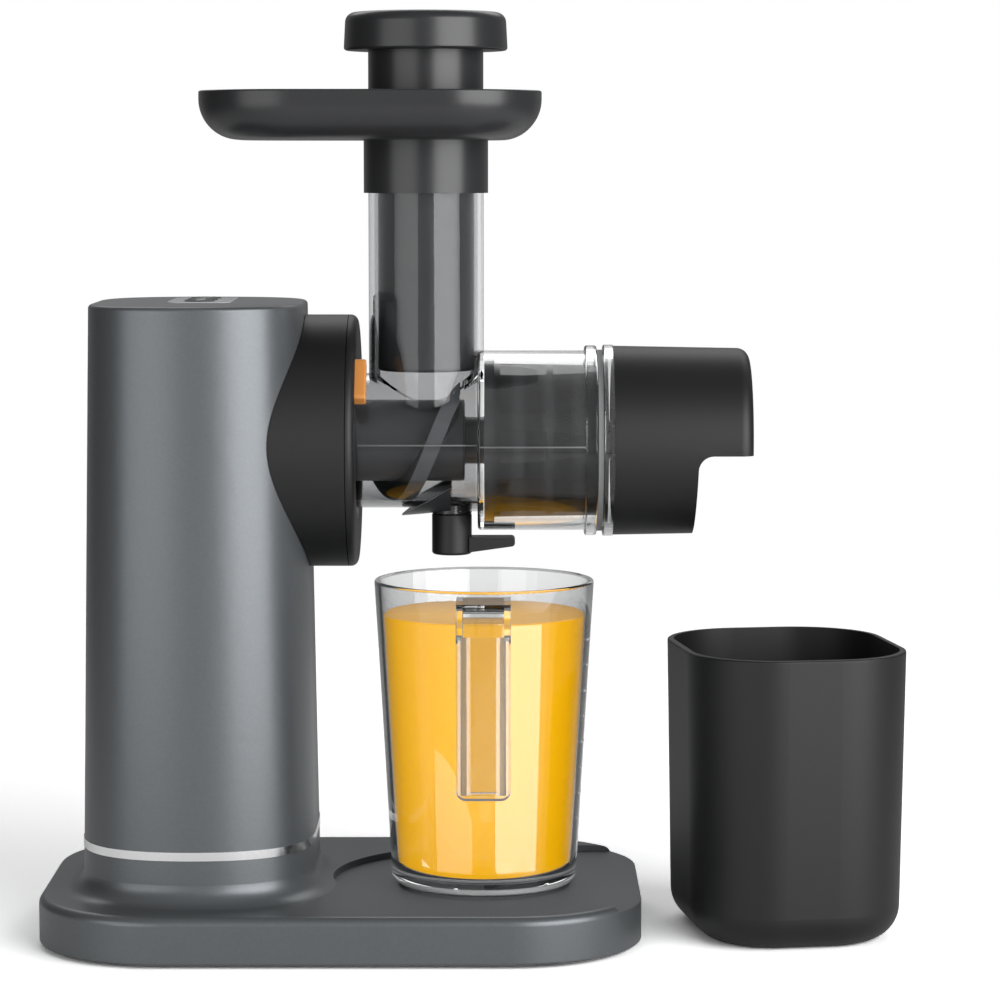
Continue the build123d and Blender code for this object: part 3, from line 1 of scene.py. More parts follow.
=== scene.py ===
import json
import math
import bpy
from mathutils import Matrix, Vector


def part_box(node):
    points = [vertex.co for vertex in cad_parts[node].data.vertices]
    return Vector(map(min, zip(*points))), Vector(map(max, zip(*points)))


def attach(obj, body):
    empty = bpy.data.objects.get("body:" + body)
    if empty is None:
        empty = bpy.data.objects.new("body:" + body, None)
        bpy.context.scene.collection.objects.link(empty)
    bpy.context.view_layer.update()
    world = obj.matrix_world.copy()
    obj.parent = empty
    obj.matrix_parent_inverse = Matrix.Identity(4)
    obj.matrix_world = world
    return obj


bl_info = {
    "name": "Cold Press Juicer",
    "version": (1, 0, 0),
    "blender": (4, 5, 0),
    "location": "View3D > Sidebar > Juicer",
    "description": "Dresses the juicer's frame with added pieces, finishes, juice and a studio",
    "category": "Object",
}

import bmesh
import bpy
from bpy.props import FloatProperty, FloatVectorProperty, IntProperty, PointerProperty
from mathutils import Matrix, Vector

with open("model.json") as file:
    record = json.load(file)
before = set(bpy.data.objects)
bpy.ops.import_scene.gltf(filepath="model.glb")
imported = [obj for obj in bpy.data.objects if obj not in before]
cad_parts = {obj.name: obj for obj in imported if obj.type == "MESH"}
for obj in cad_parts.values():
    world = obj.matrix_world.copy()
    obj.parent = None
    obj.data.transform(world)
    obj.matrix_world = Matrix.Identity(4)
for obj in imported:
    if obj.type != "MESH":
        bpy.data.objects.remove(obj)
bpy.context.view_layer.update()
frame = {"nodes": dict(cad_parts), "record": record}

# All lengths are in metres.
TURN_STEPS = 128                    # facets round a turned piece
ROUNDING_STEPS = 6                  # facets of a rounded corner in a turned outline
SMOOTH_ANGLE = math.radians(32)     # edges sharper than this stay sharp
WELD = 1e-5                         # points closer than this become one


# ---- measures read from the frame --------------------------------------------------------
def low(node):
    """Lower corner of a node's box."""
    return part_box(node)[0]


def high(node):
    """Upper corner of a node's box."""
    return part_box(node)[1]


def middle(node):
    """Middle of a node's box."""
    return (low(node) + high(node)) / 2


AXIS = middle("hub_face_plate")     # a point on the auger's axis
TOWER_X = middle("tower_shell").x


def jug_centre():
    """Centre of the jug's body on the plane of its foot."""
    radius = (high("juice_jug").x - low("juice_jug").x) / 2
    return Vector((middle("juice_jug").x, high("juice_jug").y - radius, low("juice_jug").z))


def jug_radius(sizes, height):
    """Outer radius of the jug at a height above its foot."""
    top = (high("juice_jug").x - low("juice_jug").x) / 2
    tall = high("juice_jug").z - low("juice_jug").z
    return sizes.jug_foot + (top - sizes.jug_foot) * height / tall


# ---- making a mesh -----------------------------------------------------------------------
def to_mesh(bm, name):
    """Turns a bmesh into a named mesh and frees it."""
    mesh = bpy.data.meshes.new(name)
    bm.to_mesh(mesh)
    bm.free()
    return mesh


def add_object(name, data):
    """New object in the scene's collection."""
    added = bpy.data.objects.new(name, data)
    bpy.context.scene.collection.objects.link(added)
    return added


def finish_piece(bm, name, body, material):
    """Turns a bmesh into a named piece that rides on a body and has its finish."""
    mesh = to_mesh(bm, name)
    mesh.shade_smooth()
    mesh.set_sharp_from_angle(angle=SMOOTH_ANGLE)
    piece = add_object(name, mesh)
    mesh.materials.append(material)
    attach(piece, body)
    return piece


def profile_wire(bm, points):
    """Closed outline of (x, z, rounding) points in the XZ plane, each corner rounded."""
    corners = [bm.verts.new((x, 0, z)) for x, z, _ in points]
    for a, b in zip(corners, corners[1:] + corners[:1]):
        bm.edges.new((a, b))
    for corner, (_, _, rounding) in zip(corners, points):
        if rounding > 0:
            bmesh.ops.bevel(bm, geom=[corner], offset=rounding, offset_type="OFFSET",
                            segments=ROUNDING_STEPS, profile=0.5, affect="VERTICES", material=-1)


def turned(points, foot):
    """Upright turned solid from (height, radius, rounding) points above its foot."""
    bm = bmesh.new()
    profile_wire(bm, points)
    bmesh.ops.spin(bm, geom=bm.verts[:] + bm.edges[:], cent=(0, 0, 0), axis=(1, 0, 0),
                   angle=math.tau, steps=TURN_STEPS, use_merge=True)
    bmesh.ops.remove_doubles(bm, verts=bm.verts, dist=WELD)
    loose = [edge for edge in bm.edges if not edge.link_faces]
    bmesh.ops.delete(bm, geom=loose, context="EDGES")
    bmesh.ops.recalc_face_normals(bm, faces=bm.faces)
    upright = Matrix.Rotation(-math.pi / 2, 3, "Y")
    bmesh.ops.rotate(bm, verts=bm.verts, cent=(0, 0, 0), matrix=upright)
    bmesh.ops.translate(bm, verts=bm.verts, vec=foot)
    return bm


def add_block(bm, size, place):
    """Block of a size with its middle at a place; gives back its corners."""
    corners = bmesh.ops.create_cube(bm, size=1.0)["verts"]
    bmesh.ops.scale(bm, verts=corners, vec=size)
    bmesh.ops.translate(bm, verts=corners, vec=place)
    return corners


def soften_edges(bm, offset, segments):
    """Bevels every edge of a piece."""
    bmesh.ops.bevel(bm, geom=bm.edges[:], offset=offset, segments=segments, profile=0.5,
                    affect="EDGES", material=-1)


# ---- making a finish ---------------------------------------------------------------------
def principled(owner):
    """A material's main shader."""
    return owner.node_tree.nodes["Principled BSDF"]


def new_material(name, colour, **inputs):
    """Principled material; every input is set on the shader's own socket."""
    material = bpy.data.materials.new(name)
    material.use_nodes = True
    shader = principled(material)
    shader.inputs["Base Color"].default_value = (*colour, 1.0)
    for socket, value in inputs.items():
        shader.inputs[socket.replace("_", " ")].default_value = value
    material.diffuse_color = (*colour, 1.0)
    return material


def clear_material(name, tint, roughness, ior, transmission=1.0):
    """See-through plastic."""
    return new_material(name, tint, Roughness=roughness, IOR=ior,
                        Transmission_Weight=transmission)


def add_node(owner, kind, **inputs):
    """New node in a material's or a world's tree, with its inputs set."""
    node = owner.node_tree.nodes.new(kind)
    for socket, value in inputs.items():
        node.inputs[socket.replace("_", " ")].default_value = value
    return node


def add_vector_math(owner, operation, *operands):
    """Vector Math node whose second and later inputs are set; the first is linked."""
    node = add_node(owner, "ShaderNodeVectorMath")
    node.operation = operation
    for socket, operand in enumerate(operands, start=1):
        node.inputs[socket].default_value = operand
    return node


def add_ramp(owner, *stops):
    """Colour ramp through two or more (position, colour) stops."""
    ramp = add_node(owner, "ShaderNodeValToRGB")
    elements = ramp.color_ramp.elements
    for index, (position, colour) in enumerate((stops[0], stops[-1])):
        elements[index].position = position
        elements[index].color = (*colour, 1.0)
    for position, colour in stops[1:-1]:
        elements.new(position).color = (*colour, 1.0)
    return ramp


def link(owner, source, output, target, socket):
    """Links an output to a socket, each given by its name or number."""
    owner.node_tree.links.new(source.outputs[output], target.inputs[socket])


def grey(tone):
    """A colour without a hue."""
    return (tone, tone, tone)


def shade(colour, factor):
    """A colour made lighter or darker."""
    return tuple(min(1.0, channel * factor) for channel in colour)


def add_grain(material, scale, strength, depth):
    """Fine moulded or sprayed grain, as a bump on the object's own coordinates."""
    where = add_node(material, "ShaderNodeTexCoord")
    noise = add_node(material, "ShaderNodeTexNoise", Scale=scale, Detail=2.0, Roughness=0.55)
    bump = add_node(material, "ShaderNodeBump", Strength=strength, Distance=depth)
    link(material, where, "Object", noise, "Vector")
    link(material, noise, "Fac", bump, "Height")
    link(material, bump, "Normal", principled(material), "Normal")


def add_mottle(material, colour_a, colour_b, scale):
    """Very slight change of tone over the surface."""
    where = add_node(material, "ShaderNodeTexCoord")
    noise = add_node(material, "ShaderNodeTexNoise", Scale=scale, Detail=3.0)
    ramp = add_ramp(material, (0.35, colour_a), (0.65, colour_b))
    link(material, where, "Object", noise, "Vector")
    link(material, noise, "Fac", ramp, "Fac")
    link(material, ramp, "Color", principled(material), "Base Color")


def add_bands(material, colour_a, colour_b, scale):
    """Fine rings round the object's X."""
    where = add_node(material, "ShaderNodeTexCoord")
    wave = add_node(material, "ShaderNodeTexWave", Scale=scale, Distortion=0.0)
    wave.bands_direction = "X"
    ramp = add_ramp(material, (0.45, colour_a), (0.9, colour_b))
    link(material, where, "Object", wave, "Vector")
    link(material, wave, "Fac", ramp, "Fac")
    link(material, ramp, "Color", principled(material), "Base Color")


def add_smoke(material, smoke, clear, end):
    """Smoky tint up to a place on X, clear beyond it."""
    fade = 0.004
    where = add_node(material, "ShaderNodeTexCoord")
    split = add_node(material, "ShaderNodeSeparateXYZ")
    reach = add_node(material, "ShaderNodeMapRange", From_Min=end - fade, From_Max=end)
    ramp = add_ramp(material, (0.0, smoke), (1.0, clear))
    link(material, where, "Object", split, "Vector")
    link(material, split, "X", reach, "Value")
    link(material, reach, "Result", ramp, "Fac")
    link(material, ramp, "Color", principled(material), "Base Color")


def lift_coat(material, lift):
    """Turns the normal of the gloss upwards, so that upright sides mirror the soft boxes."""
    surface = add_node(material, "ShaderNodeNewGeometry")
    bent = add_vector_math(material, "ADD", (0.0, 0.0, lift))
    even = add_vector_math(material, "NORMALIZE")
    link(material, surface, "Normal", bent, "Vector")
    link(material, bent, "Vector", even, "Vector")
    link(material, even, "Vector", principled(material), "Coat Normal")


def add_painted_radial_shading(material, core, painted_shade_flank, painted_highlight_crest):
    """Painted light and shade by the distance from the auger's axis: the core's own tone, painted
    shade on the sides of the flight and a painted highlight on its crest.
    """
    core_radius, crest_radius = 0.0160, 0.0250
    where = add_node(material, "ShaderNodeTexCoord")
    flat = add_vector_math(material, "MULTIPLY_ADD", (0.0, 1.0, 1.0), (0.0, 0.0, -AXIS.z))
    distance = add_vector_math(material, "LENGTH")
    spread = add_node(material, "ShaderNodeMapRange", From_Min=core_radius,
                      From_Max=crest_radius)
    ramp = add_ramp(material, (0.06, core), (0.16, painted_shade_flank), (0.90, painted_shade_flank), (0.95, painted_highlight_crest))
    link(material, where, "Object", flat, "Vector")
    link(material, flat, "Vector", distance, "Vector")
    link(material, distance, "Value", spread, "Value")
    link(material, spread, "Result", ramp, "Fac")
    link(material, ramp, "Color", principled(material), "Base Color")


# Grain by finish: scale, strength and depth.
GRAINS = {
    "slate_plastic": (2200.0, 0.05, 0.00005),
    "black_plastic": (1500.0, 0.18, 0.0001),
    "dark_grey_plastic": (1800.0, 0.05, 0.00005),
    "rubber": (1600.0, 0.3, 0.0001),
    "seal_rubber": (1600.0, 0.15, 0.0001),
    "steel": (1400.0, 0.08, 0.00005),
    "motor_steel": (1200.0, 0.15, 0.0001),
    "housing_nylon": (1300.0, 0.2, 0.0001),
    "gear_nylon": (900.0, 0.08, 0.0001),
    "panel_plastic": (1800.0, 0.04, 0.00005),
    "button_plastic": (1600.0, 0.1, 0.00005),
    "orange_plastic": (1500.0, 0.04, 0.00005),
    "trim_metal": (1500.0, 0.03, 0.00003),
}


def make_plain_finishes(look):
    """One even material for each material slot of the frame and each added piece."""
    dark = look.dark_grey
    return {
        # housing, tray and small parts
        "slate_plastic": new_material("slate_paint", look.slate, Metallic=0.6, Roughness=0.37,
                                      IOR=1.46),
        "black_plastic": new_material("black_grained_plastic", look.black, Roughness=0.48,
                                      IOR=1.46),
        "dark_grey_plastic": new_material("dark_grey_plastic", dark, Roughness=0.3, IOR=1.5),
        "orange_plastic": new_material("orange_plastic", look.orange, Roughness=0.28),
        "panel_plastic": new_material("pale_panel", (0.52, 0.53, 0.54), Roughness=0.35),
        "button_plastic": new_material("button_plastic", shade(dark, 1.5), Roughness=0.4),
        "trim_metal": new_material("polished_band", (0.96, 0.965, 0.97), Metallic=1.0,
                                   Roughness=0.14),
        "rubber": new_material("foot_rubber", grey(0.03), Roughness=0.8),
        "seal_rubber": new_material("seal_rubber", (0.20, 0.205, 0.21), Roughness=0.6),
        # chamber, auger and basket
        "clear_plastic": clear_material("clear_plastic", look.clear, 0.015, 1.45),
        "chamber_clear": clear_material("chamber_clear", look.clear, 0.01, 1.35),
        "auger_plastic": new_material("auger_plastic", shade(dark, 1.3), Roughness=0.3,
                                      Specular_IOR_Level=0.25),
        "basket_mesh": new_material("basket_mesh", shade(dark, 0.8), Roughness=0.3,
                                    Specular_IOR_Level=0.2),
        # Opaque grey on the mould seam: a painted reflection line along the barrels at the axis
        # height.
        "seam_painted_reflection": new_material("seam_painted_reflection", (0.13, 0.132, 0.135), Roughness=0.3),
        # jug, its handle's painted highlight and painted shade strips, and the juice, whose glow
        # is painted light
        "jug_clear": clear_material("jug_clear", look.jug, 0.012, 1.47),
        # The grey see-through sheet on the handle is painted shade; the pale rib strips are
        # painted highlights and the grey strips between them painted shade.
        "handle_shade": clear_material("handle_shade", (0.86, 0.86, 0.84), 0.03, 1.12),
        "rib_painted_highlight": clear_material("rib_painted_highlight", (0.97, 0.95, 0.90), 0.08, 1.3, 0.82),
        "groove_painted_shade": clear_material("groove_painted_shade", (0.45, 0.45, 0.44), 0.08, 1.4, 0.8),
        # White ring in the jug's floor: painted reflection glints.
        "foot_painted_glint": clear_material("foot_painted_glint", (0.93, 0.94, 0.94), 0.3, 1.3, 0.05),
        "mark_print": new_material("mark_print", (0.55, 0.56, 0.57), Roughness=0.5),
        # The juice glows in its own colour: painted light that makes it brighter than the lamps
        # alone would.
        "juice": new_material("orange_juice", look.juice, Roughness=0.25, IOR=1.34,
                              Subsurface_Weight=0.2, Subsurface_Radius=(0.004, 0.002, 0.0005),
                              Emission_Color=(*look.juice, 1.0), Emission_Strength=1.0,
                              Coat_Weight=1.0, Coat_Roughness=0.03, Coat_IOR=1.75),
        # drive inside the tower
        "steel": new_material("ground_steel", (0.62, 0.62, 0.63), Metallic=1.0, Roughness=0.3),
        "motor_steel": new_material("motor_paint", (0.06, 0.06, 0.065), Metallic=0.6,
                                    Roughness=0.45),
        "gear_nylon": new_material("gear_nylon", (0.78, 0.75, 0.64), Roughness=0.45,
                                   Subsurface_Weight=0.1),
        "housing_nylon": new_material("filled_nylon", (0.05, 0.05, 0.055), Roughness=0.55),
        "circuit_board": new_material("board_lacquer", (0.02, 0.12, 0.05), Roughness=0.3,
                                      Coat_Weight=0.5),
    }


def make_finishes(look):
    """All finishes with their grain and tones."""
    finishes = make_plain_finishes(look)
    dark = look.dark_grey
    add_mottle(finishes["slate_plastic"], shade(look.slate, 0.97), shade(look.slate, 1.03),
               scale=900.0)
    add_mottle(finishes["juice"], shade(look.juice, 0.95), look.juice, scale=220.0)
    add_mottle(finishes["circuit_board"], (0.015, 0.10, 0.04), (0.03, 0.15, 0.06), scale=60.0)
    lift_coat(finishes["juice"], look.coat_lift)
    # The auger's flight gets painted shade on its sides and a painted highlight on its crest.
    add_painted_radial_shading(finishes["auger_plastic"], core=shade(dark, 1.9), painted_shade_flank=shade(dark, 0.35),
                     painted_highlight_crest=shade(dark, 6.0))
    add_bands(finishes["basket_mesh"], shade(dark, 0.25), shade(dark, 0.6), scale=26.0)
    add_smoke(finishes["chamber_clear"], look.smoke, look.clear, end=low("filter_basket").x)
    for slot, grain in GRAINS.items():
        add_grain(finishes[slot], *grain)
    return finishes


# ---- settings ----------------------------------------------------------------------------
class JuicerLook(bpy.types.PropertyGroup):
    """Colours of the juicer's finishes."""

    slate: FloatVectorProperty(
        name="Slate", description="Housing colour",
        subtype="COLOR", default=(0.132, 0.1415, 0.149), min=0, max=1)
    black: FloatVectorProperty(
        name="Black", description="Hub, end cap and pulp container",
        subtype="COLOR", default=(0.0062, 0.0062, 0.0066), min=0, max=1)
    dark_grey: FloatVectorProperty(
        name="Dark grey", description="Tray, pusher and auger",
        subtype="COLOR", default=(0.0225, 0.023, 0.0245), min=0, max=1)
    clear: FloatVectorProperty(
        name="Clear", description="Tint of the filter barrel",
        subtype="COLOR", default=(0.94, 0.945, 0.945), min=0, max=1)
    smoke: FloatVectorProperty(
        name="Smoke", description="Tint of the feed barrel and the chute",
        subtype="COLOR", default=(0.58, 0.585, 0.59), min=0, max=1)
    jug: FloatVectorProperty(
        name="Jug", description="Tint of the jug",
        subtype="COLOR", default=(0.83, 0.834, 0.834), min=0, max=1)
    orange: FloatVectorProperty(
        name="Orange", description="Release tab",
        subtype="COLOR", default=(0.62, 0.25, 0.06), min=0, max=1)
    # Also the colour of the juice's glow, which is painted light.
    juice: FloatVectorProperty(
        name="Juice", description="Juice in the jug",
        subtype="COLOR", default=(0.97, 0.475, 0.001), min=0, max=1)
    coat_lift: FloatProperty(
        name="Coat lift", description="Upward turn of the juice's gloss",
        default=0.41, min=0, max=0.5)


class JuicerSizes(bpy.types.PropertyGroup):
    """Sizes of what is added to the frame."""

    jug_foot: FloatProperty(
        name="Jug foot", description="Outer radius of the jug's foot",
        subtype="DISTANCE", unit="LENGTH", default=0.0376, min=0.03, max=0.05)
    jug_wall: FloatProperty(
        name="Jug wall", description="Thickness of the jug's wall",
        subtype="DISTANCE", unit="LENGTH", default=0.0024, min=0.001, max=0.005)
    jug_floor: FloatProperty(
        name="Jug floor", description="Thickness of the jug's floor",
        subtype="DISTANCE", unit="LENGTH", default=0.005, min=0.002, max=0.01)
    juice_level: FloatProperty(
        name="Juice level", description="Height of the juice above the jug's floor",
        subtype="DISTANCE", unit="LENGTH", default=0.1065, min=0.01, max=0.115)
    juice_gap: FloatProperty(
        name="Juice gap", description="Room between the juice and the jug",
        subtype="DISTANCE", unit="LENGTH", default=0.0004, min=0.0001, max=0.001)
    mark_count: IntProperty(
        name="Marks", description="Number of graduation marks",
        default=8, min=2, max=12)
    mark_low: FloatProperty(
        name="Lowest mark", description="Height of the lowest mark above the jug's foot",
        subtype="DISTANCE", unit="LENGTH", default=0.028, min=0.01, max=0.05)
    mark_pitch: FloatProperty(
        name="Mark pitch", description="Height from one mark to the next",
        subtype="DISTANCE", unit="LENGTH", default=0.0105, min=0.005, max=0.02)
    mark_length: FloatProperty(
        name="Mark length", description="Length of a long mark",
        subtype="DISTANCE", unit="LENGTH", default=0.007, min=0.003, max=0.012)
    mark_side: FloatProperty(
        name="Mark side", description="Turn of the marks from the right side",
        subtype="ANGLE", default=math.radians(-12))
    rib_outer: FloatProperty(
        name="Outer rib", description="Outer rib from the handle's middle",
        subtype="DISTANCE", unit="LENGTH", default=0.0094, min=0.005, max=0.011)
    rib_inner: FloatProperty(
        name="Inner rib", description="Inner rib from the handle's middle",
        subtype="DISTANCE", unit="LENGTH", default=0.0058, min=0.003, max=0.008)
    rib_outer_width: FloatProperty(
        name="Outer rib width", description="Width of an outer rib",
        subtype="DISTANCE", unit="LENGTH", default=0.00117, min=0.0005, max=0.002)
    rib_inner_width: FloatProperty(
        name="Inner rib width", description="Width of an inner rib",
        subtype="DISTANCE", unit="LENGTH", default=0.00143, min=0.0005, max=0.002)
    rib_bottom: FloatProperty(
        name="Rib foot", description="Height of the ribs' lower end above the floor",
        subtype="DISTANCE", unit="LENGTH", default=0.0672, min=0.05, max=0.08)
    rib_length: FloatProperty(
        name="Rib length", description="Length of a rib",
        subtype="DISTANCE", unit="LENGTH", default=0.062, min=0.03, max=0.07)
    feed_radius: FloatProperty(
        name="Feed barrel", description="Outer radius of the feed barrel",
        subtype="DISTANCE", unit="LENGTH", default=0.0273, min=0.02, max=0.04)
    filter_radius: FloatProperty(
        name="Filter barrel", description="Outer radius of the filter barrel",
        subtype="DISTANCE", unit="LENGTH", default=0.0364, min=0.03, max=0.045)
    seam_height: FloatProperty(
        name="Seam", description="Height of the mould seam",
        subtype="DISTANCE", unit="LENGTH", default=0.0006, min=0.0002, max=0.001)
    collar_radius: FloatProperty(
        name="Spout collar", description="Outer radius of the collar round the spout",
        subtype="DISTANCE", unit="LENGTH", default=0.0078, min=0.005, max=0.012)
    icon_size: FloatProperty(
        name="Symbol size", description="Width of a button's symbol",
        subtype="DISTANCE", unit="LENGTH", default=0.0055, min=0.002, max=0.01)
    icon_rise: FloatProperty(
        name="Symbol rise", description="Height of a symbol above its button",
        subtype="DISTANCE", unit="LENGTH", default=0.00015, min=0.0001, max=0.0005)


class JuicerStudio(bpy.types.PropertyGroup):
    """Camera and light."""

    lens: FloatProperty(
        name="Lens", description="Focal length",
        subtype="DISTANCE_CAMERA", default=126.0, min=20)
    distance: FloatProperty(
        name="Distance", description="Camera in front of the auger's axis",
        subtype="DISTANCE", unit="LENGTH", default=1.419, min=0.5)
    height: FloatProperty(
        name="Height", description="Camera above the floor",
        subtype="DISTANCE", unit="LENGTH", default=0.312)
    across: FloatProperty(
        name="Across", description="Camera to the right of the tower's axis",
        subtype="DISTANCE", unit="LENGTH", default=0.1217)
    tilt: FloatProperty(
        name="Tilt", description="Camera's look down",
        subtype="ANGLE", default=math.radians(5.5))
    world: FloatProperty(
        name="Surround", description="Strength of the surrounding light",
        default=0.3, min=0)
    tent: FloatProperty(
        name="Tent", description="Strength of the grey tent in the gloss",
        default=0.23, min=0)
    tent_left: FloatProperty(
        name="Tent left", description="Strength of the tent at the left side",
        default=0.04, min=0)
    tent_right: FloatProperty(
        name="Tent right", description="Strength of the tent at the right side",
        default=0.12, min=0)
    floor_tone: FloatProperty(
        name="Floor tone", description="Floor's tone as the camera sees it",
        default=1.9, min=0)
    right_power: FloatProperty(
        name="Right box", description="Power of the right soft box, in watts",
        default=42.0, min=0)
    left_power: FloatProperty(
        name="Left box", description="Power of the left soft box, in watts",
        default=9.7, min=0)
    rear_power: FloatProperty(
        name="Rear box", description="Power of the rear soft box, in watts",
        default=8.0, min=0)


# ---- operators ---------------------------------------------------------------------------
FINISH = {}     # filled by the first operator
OWN_FINISH = {  # nodes that don't take their slot's finish
    "juicing_chamber": "chamber_clear",
    "filter_basket": "basket_mesh",
    "juice_jug": "jug_clear",
}


def hide_from_bounces(piece):
    """Keeps a piece's colour out of the gloss and the soft light on what stands beside it."""
    piece.visible_glossy = False
    piece.visible_diffuse = False


class FinishFrame(bpy.types.Operator):
    """Gives every node of the frame its finish"""

    bl_idname = "juicer.finish_frame"
    bl_label = "Finish the frame"

    def execute(self, context):
        FINISH.update(make_finishes(context.scene.juicer_look))
        for part in frame["record"]["subparts"]:
            materials = frame["nodes"][part["node"]].data.materials
            materials.clear()
            materials.append(FINISH[OWN_FINISH.get(part["node"], part["material_slot"])])
        hide_from_bounces(frame["nodes"]["juice_jug"])
        frame["nodes"]["juicing_chamber"].visible_shadow = False
        return {"FINISHED"}


class PourJuice(bpy.types.Operator):
    """Fills the jug with juice, a hair inside its wall"""

    bl_idname = "juicer.pour_juice"
    bl_label = "Pour the juice"

    FOOT_ROUNDING = 0.0062
    BRIM_ROUNDING = 0.0006

    def execute(self, context):
        sizes = context.scene.juicer_sizes
        inset = sizes.jug_wall + sizes.juice_gap
        floor = sizes.jug_floor + sizes.juice_gap
        surface = sizes.jug_floor + sizes.juice_level
        foot = jug_radius(sizes, floor) - inset
        brim = jug_radius(sizes, surface) - inset
        bm = turned([(floor, 0, 0), (floor, foot, self.FOOT_ROUNDING),
                     (surface, brim, self.BRIM_ROUNDING), (surface, 0, 0)], jug_centre())
        juice = finish_piece(bm, "orange_juice", "juice_jug", FINISH["juice"])
        hide_from_bounces(juice)
        return {"FINISHED"}


class PaintGlintRing(bpy.types.Operator):
    """Puts a white ring into the jug's thick floor: painted reflection glints"""

    bl_idname = "juicer.frost_foot"
    bl_label = "Frost the jug's foot"

    LOW, HIGH = 0.0014, 0.0036      # heights above the jug's foot
    INSET = 0.0022                  # from the foot's outside
    WIDTH = 0.003
    INNER_ROUNDING = 0.0003
    LOW_ROUNDING, HIGH_ROUNDING = 0.0006, 0.0009

    def execute(self, context):
        sizes = context.scene.juicer_sizes
        outer = sizes.jug_foot - self.INSET
        inner = outer - self.WIDTH
        bm = turned([(self.LOW, inner, self.INNER_ROUNDING), (self.LOW, outer, self.LOW_ROUNDING),
                     (self.HIGH, outer, self.HIGH_ROUNDING),
                     (self.HIGH, inner, self.INNER_ROUNDING)], jug_centre())
        # The ring's white is a painted reflection of glints in the jug's floor.
        finish_piece(bm, "jug_foot_glint_ring", "juice_jug", FINISH["foot_painted_glint"])
        return {"FINISHED"}


class MarkJug(bpy.types.Operator):
    """Puts the plain graduation marks on the side of the jug"""

    bl_idname = "juicer.mark_jug"
    bl_label = "Mark the jug"

    THICK, TALL = 0.0004, 0.0006
    SHORT = 0.6                     # a short mark's share of a long one

    def execute(self, context):
        sizes = context.scene.juicer_sizes
        turn = Matrix.Rotation(sizes.mark_side, 3, "Z")
        bm = bmesh.new()
        for count in range(sizes.mark_count):
            height = sizes.mark_low + count * sizes.mark_pitch
            length = sizes.mark_length if count % 2 else sizes.mark_length * self.SHORT
            mark = add_block(bm, (self.THICK, length, self.TALL),
                             (jug_radius(sizes, height), 0, height))
            bmesh.ops.rotate(bm, verts=mark, cent=(0, 0, 0), matrix=turn)
            bmesh.ops.translate(bm, verts=mark, vec=jug_centre())
        soften_edges(bm, offset=0.0001, segments=1)
        finish_piece(bm, "graduation_marks", "juice_jug", FINISH["mark_print"])
        return {"FINISHED"}


class RibHandle(bpy.types.Operator):
    """Puts pale strips on the handle's ribs as painted highlights, and darker strips between them
    and a grey sheet over the middle as painted shade, all on the handle's front
    """

    bl_idname = "juicer.rib_handle"
    bl_label = "Rib the handle"

    THICK = 0.0005
    GAP = 0.0001                    # in front of the handle
    GROOVE_SHARE = 0.66             # of the way from an inner to an outer rib
    PANEL_SHARE = 0.84              # of the way from one inner rib to the other

    def execute(self, context):
        sizes = context.scene.juicer_sizes
        outer, inner = sizes.rib_outer, sizes.rib_inner
        ribs = [(side * outer, sizes.rib_outer_width) for side in (-1, 1)]
        ribs += [(side * inner, sizes.rib_inner_width) for side in (-1, 1)]
        grooves = [(side * (outer + inner) / 2, (outer - inner) * self.GROOVE_SHARE)
                   for side in (-1, 1)]
        # Pale strips on the ribs: painted highlights; grooves and sheet: painted shade.
        self.add_strips("handle_rib_highlights", sizes, ribs, FINISH["rib_painted_highlight"])
        self.add_strips("handle_groove_shade", sizes, grooves, FINISH["groove_painted_shade"])
        self.add_strips("handle_shade_panel", sizes, [(0.0, 2 * inner * self.PANEL_SHARE)],
                        FINISH["handle_shade"])
        return {"FINISHED"}

    def add_strips(self, name, sizes, strips, material):
        """Flat strips down the handle's front: (place across, width)."""
        bm = bmesh.new()
        depth = low("juice_jug").y - self.GAP - self.THICK / 2
        height = sizes.rib_bottom + sizes.rib_length / 2
        for across, width in strips:
            add_block(bm, (width, self.THICK, sizes.rib_length),
                      (middle("juice_jug").x + across, depth, height))
        soften_edges(bm, offset=0.0002, segments=2)
        finish_piece(bm, name, "juice_jug", material)


class DrawSeam(bpy.types.Operator):
    """Puts the thin mould seam along the front and the back of the chamber; its opaque grey is a
    painted reflection line at the axis height
    """

    bl_idname = "juicer.draw_seam"
    bl_label = "Draw the mould seam"

    THICK = 0.0004
    STAND_OFF = 0.00015             # from the barrel to the seam's middle
    FROM_HUB = 0.0006
    FEED_END = 0.0030               # before the basket
    STEP = 0.0012                   # between the feed barrel's seam and the filter barrel's
    FROM_LOCK_RING = 0.0077

    def execute(self, context):
        sizes = context.scene.juicer_sizes
        feed_left = high("hub_face_plate").x + self.FROM_HUB
        feed_right = low("filter_basket").x - self.FEED_END
        filter_right = low("cap_lock_ring").x - self.FROM_LOCK_RING
        bm = bmesh.new()
        for left, right, radius in ((feed_left, feed_right, sizes.feed_radius),
                                    (feed_right + self.STEP, filter_right, sizes.filter_radius)):
            for side in (-1, 1):
                add_block(bm, (right - left, self.THICK, sizes.seam_height),
                          ((left + right) / 2, side * (radius + self.STAND_OFF), AXIS.z))
        soften_edges(bm, offset=0.00008, segments=2)
        # The seam's grey is a painted reflection line.
        finish_piece(bm, "mould_seam_reflection", "chamber", FINISH["seam_painted_reflection"])
        return {"FINISHED"}


